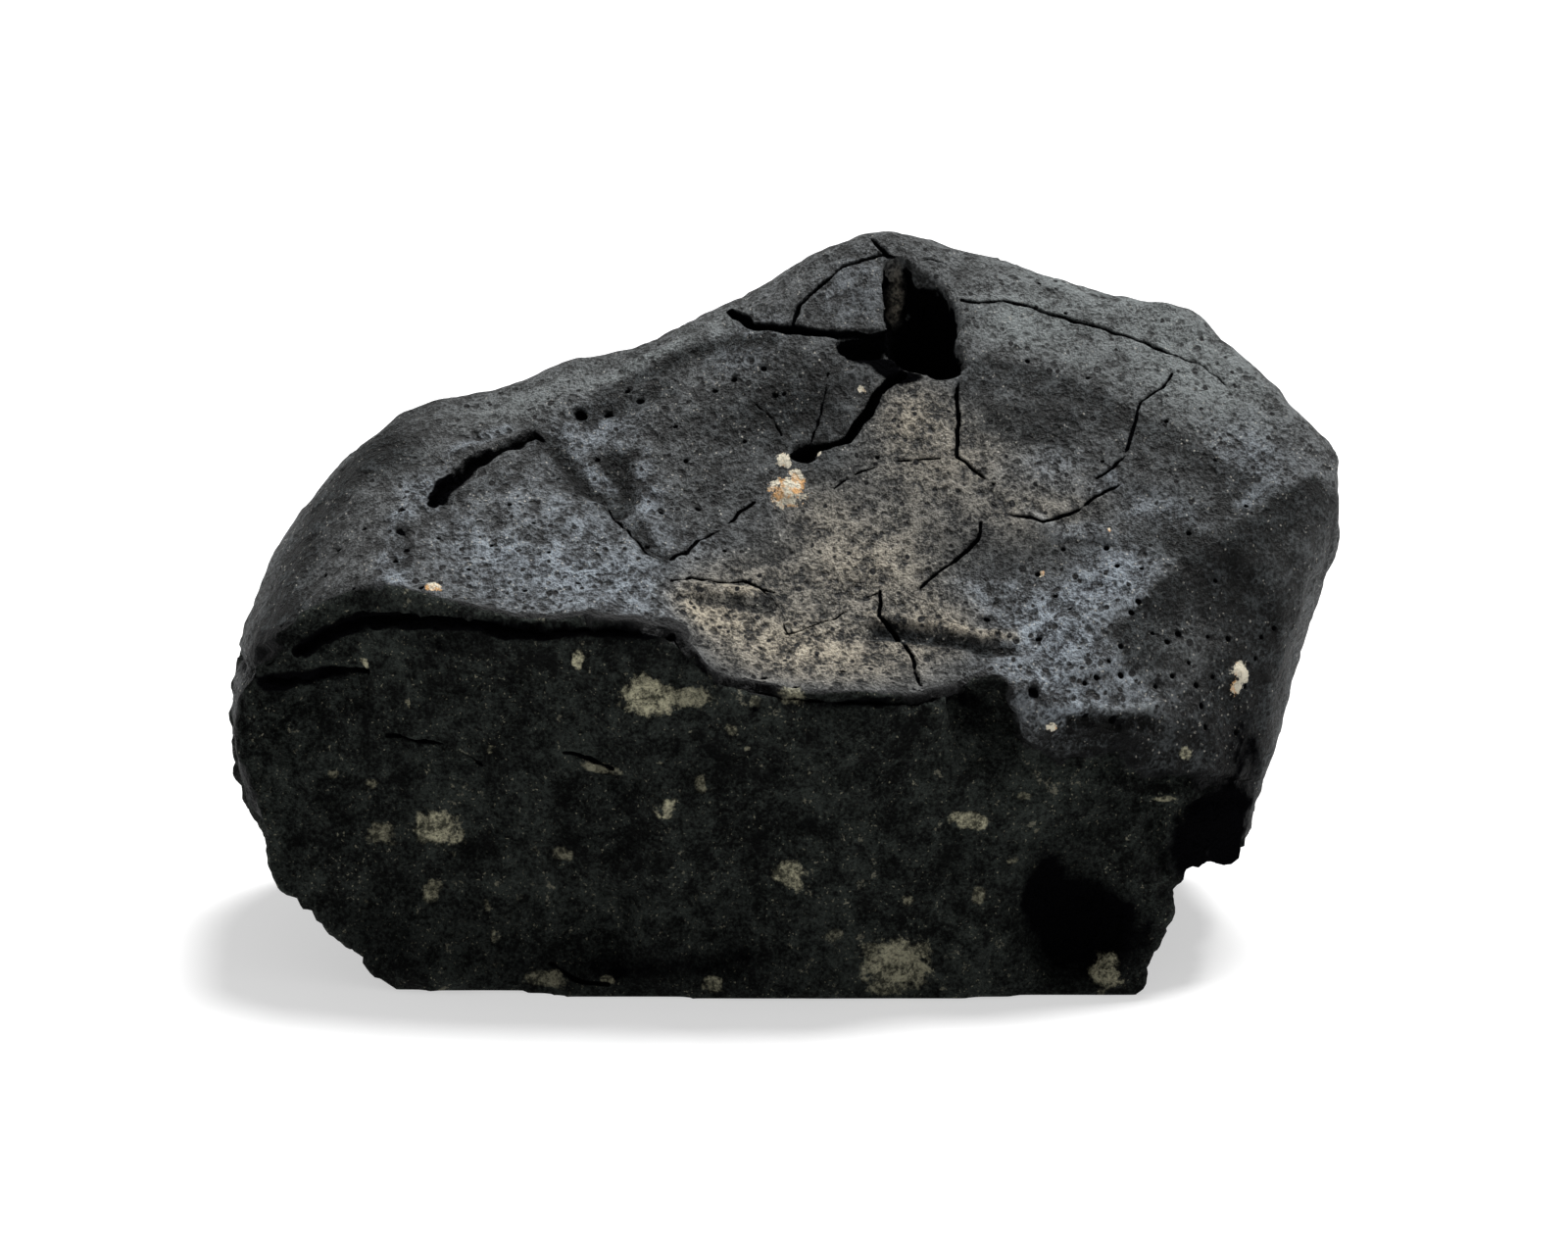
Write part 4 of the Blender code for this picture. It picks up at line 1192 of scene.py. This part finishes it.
pitted = field("pitted")
patchy = plus(pitted, plus(field("dust_and_painted_highlight"), field("sand_and_painted_highlight")), clamp=True)
small_pits, dents = pits_of("small", patchy), pits_of("dent", patchy)
fine_pits = maths("MAXIMUM", pits_of("fine", patchy), pits_of("wide", pitted))
grains_and_glints = times(pits_of("grain", patchy), ramp(lumps, 0.44, 0.56))
# Dents and small pits are painted dark and the fine pits black, as shade; the pale grains sit on the
# tops of the lumps and are partly painted glints.
crust = mix(times(dents, 0.72), crust, LOW["dark"])
crust = mix(times(small_pits, 0.70), crust, LOW["dark"])
crust = mix(times(grains_and_glints, 0.60), crust, GRAIN_AND_GLINT_PALE)
crust = mix(fine_pits, crust, PAINTED_SHADE_BLACK)

# %% Painted shade on the crust's rounded edge, seen where it broke
RIM_SHADE = colour(0.0052, 0.0056, 0.0060)
RIM_SHADE_SWING, RIM_SHADE_EDGE = 1.2, (0.10, 0.30)
NEAR_SHARE, NEAR_BREAK = 0.8, (1.25, 1.75, 0.85, 0.0)

# The crust's rounded edge at a break faces away from the light and is painted dark as shade, along the
# edge bands and where the break is near.
crust = mix(ramp(plus(field("painted_rim_shade"), swing(lumps, RIM_SHADE_SWING)), *RIM_SHADE_EDGE), crust, RIM_SHADE)
shade_near_break = ramp(plus(field("inside"), times(lumps, NEAR_SHARE)), *NEAR_BREAK)
crust = mix(shade_near_break, crust, RIM_SHADE)

# %% The matrix's look
MATRIX = colour(0.0030, 0.0034, 0.0032)
MATRIX_PALE = colour(0.039, 0.046, 0.041)
SPECK = colour(0.25, 0.24, 0.18)
MATRIX_EDGE, SPECK_EDGE, FLAKE_EDGE = (0.48, 0.72), (0.66, 0.74), (0.605, 0.66)
SPECK_SHARE, FLAKE_SHARE = 0.75, 0.60

matrix_cover = blend((lumps, 0.35), (grit, 0.45), (clouds, 0.35))
matrix = mix(ramp(matrix_cover, *MATRIX_EDGE), MATRIX, MATRIX_PALE)
specks = times(ramp(grain(0.24, 1.0), *SPECK_EDGE), ramp(lumps, 0.46, 0.56))
flakes = ramp(blend((grain(1.0, 4.0, 0.7), 0.7), (clouds, 0.3)), *FLAKE_EDGE)
matrix = mix(times(specks, SPECK_SHARE), matrix, SPECK)
matrix = mix(times(flakes, FLAKE_SHARE), matrix, SPECK)

# %% The inclusions' look
INCLUSION = colour(0.620, 0.590, 0.410)
INCLUSION_DARK = colour(0.085, 0.085, 0.060)
INCLUSION_GRAIN, INCLUSION_EDGE = (0.40, 0.58), (0.0, 0.40)
PALE_SWING = 1.8

ragged_edge = maths("SUBTRACT", grain(0.9, 5.0, 0.72), 0.5)
inclusion_grain = ramp(blend((lumps, 0.6), (grit, 0.4)), *INCLUSION_GRAIN)
inclusion_colour = mix(inclusion_grain, INCLUSION_DARK, INCLUSION)
pale_edge = plus(field("pale"), times(ragged_edge, PALE_SWING))
pale_share = times(ramp(pale_edge, *INCLUSION_EDGE), field("pale_strength"))

# %% Crust and matrix together, with the painted black shade
EDGE_SWING, EDGE = 0.9, (0.55, 0.85)
BLACK_SHADE_SWING, BLACK_SHADE_FINE_SWING, BLACK_SHADE_EDGE = 1.0, 0.7, (0.30, 0.75)

on_crust = ramp(plus(field("inside"), swing(grain(0.9, 3.0, 0.6), EDGE_SWING)), *EDGE)
surface = mix(on_crust, matrix, crust)
# The black is painted shade, in the hole, the hollows, under the ledges and near the base.
painted_black_shade_share = plus(field("painted_black_shade"), swing(lumps, BLACK_SHADE_SWING))
painted_black_shade_share = ramp(plus(painted_black_shade_share, swing(grain(3.0), BLACK_SHADE_FINE_SWING)), *BLACK_SHADE_EDGE)
surface = mix(painted_black_shade_share, surface, PAINTED_SHADE_BLACK)
surface = mix(pale_share, surface, inclusion_colour)

# %% Chips, cracks and pits on top
CHIP_CREAM = colour(0.86, 0.79, 0.63)
CHIP_ORANGE = colour(0.82, 0.46, 0.19)
STAIN_SHARE, STAIN_EDGE = 0.2, (0.58, 0.74)
CHIP_SWING, CHIP_EDGE = 2.2, (0.05, 0.22)
CRACK_EDGE, PIT_EDGE = (-0.22, 0.18), (0.0, 0.35)

stain = plus(grain(0.8, 3.0, 0.6), times(field("orange"), STAIN_SHARE))
chip_colour = mix(ramp(stain, *STAIN_EDGE), CHIP_CREAM, CHIP_ORANGE)
chip_share = ramp(plus(field("chip"), times(ragged_edge, CHIP_SWING)), *CHIP_EDGE)
surface = mix(chip_share, surface, chip_colour)
# Cracks and pits are painted black inside, as shade.
cut = maths("MAXIMUM", ramp(field("crack"), *CRACK_EDGE), ramp(field("pit"), *PIT_EDGE))
surface = mix(cut, surface, PAINTED_SHADE_BLACK)
feed(stone_shader.inputs["Base Color"], surface)

# %% Roughness, shine and fine relief
MATRIX_ROUGH, CRUST_ROUGH = 0.9, (0.35, 0.65, 0.60, 0.85)
CRUST_SHINE, MATRIX_SHINE = 0.22, 0.06

rough = nodes.new("ShaderNodeMix")
feed(rough.inputs[0], on_crust)
rough.inputs[2].default_value = MATRIX_ROUGH
feed(rough.inputs[3], ramp(lumps, *CRUST_ROUGH))
feed(stone_shader.inputs["Roughness"], rough.outputs[0])
shine = plus(times(on_crust, CRUST_SHINE), MATRIX_SHINE)
for dull, share in ((painted_black_shade_share, 1.0), (cut, 1.0), (field("dark"), 0.6)):
    shine = times(shine, maths("SUBTRACT", 1.0, times(dull, share)))
feed(stone_shader.inputs["Specular IOR Level"], shine)

bump = nodes.new("ShaderNodeBump")
bump.inputs["Distance"].default_value = MM
bump.inputs["Strength"].default_value = 1.0
feed(bump.inputs["Height"], blend((lumps, 2.2), (grit, 0.80), (fine_pits, -0.35),
                                  (small_pits, -0.24), (dents, -0.50)))
feed(stone_shader.inputs["Normal"], bump.outputs["Normal"])

# %% The finish goes on
stone.data.materials.clear()
stone.data.materials.append(stone_material)
work_on(stone)
bpy.ops.object.shade_smooth()
print(len(nodes), "nodes in the finish")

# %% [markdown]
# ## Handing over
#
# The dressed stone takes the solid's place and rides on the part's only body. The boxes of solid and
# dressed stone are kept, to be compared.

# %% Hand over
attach(stone, "root")
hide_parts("stone")
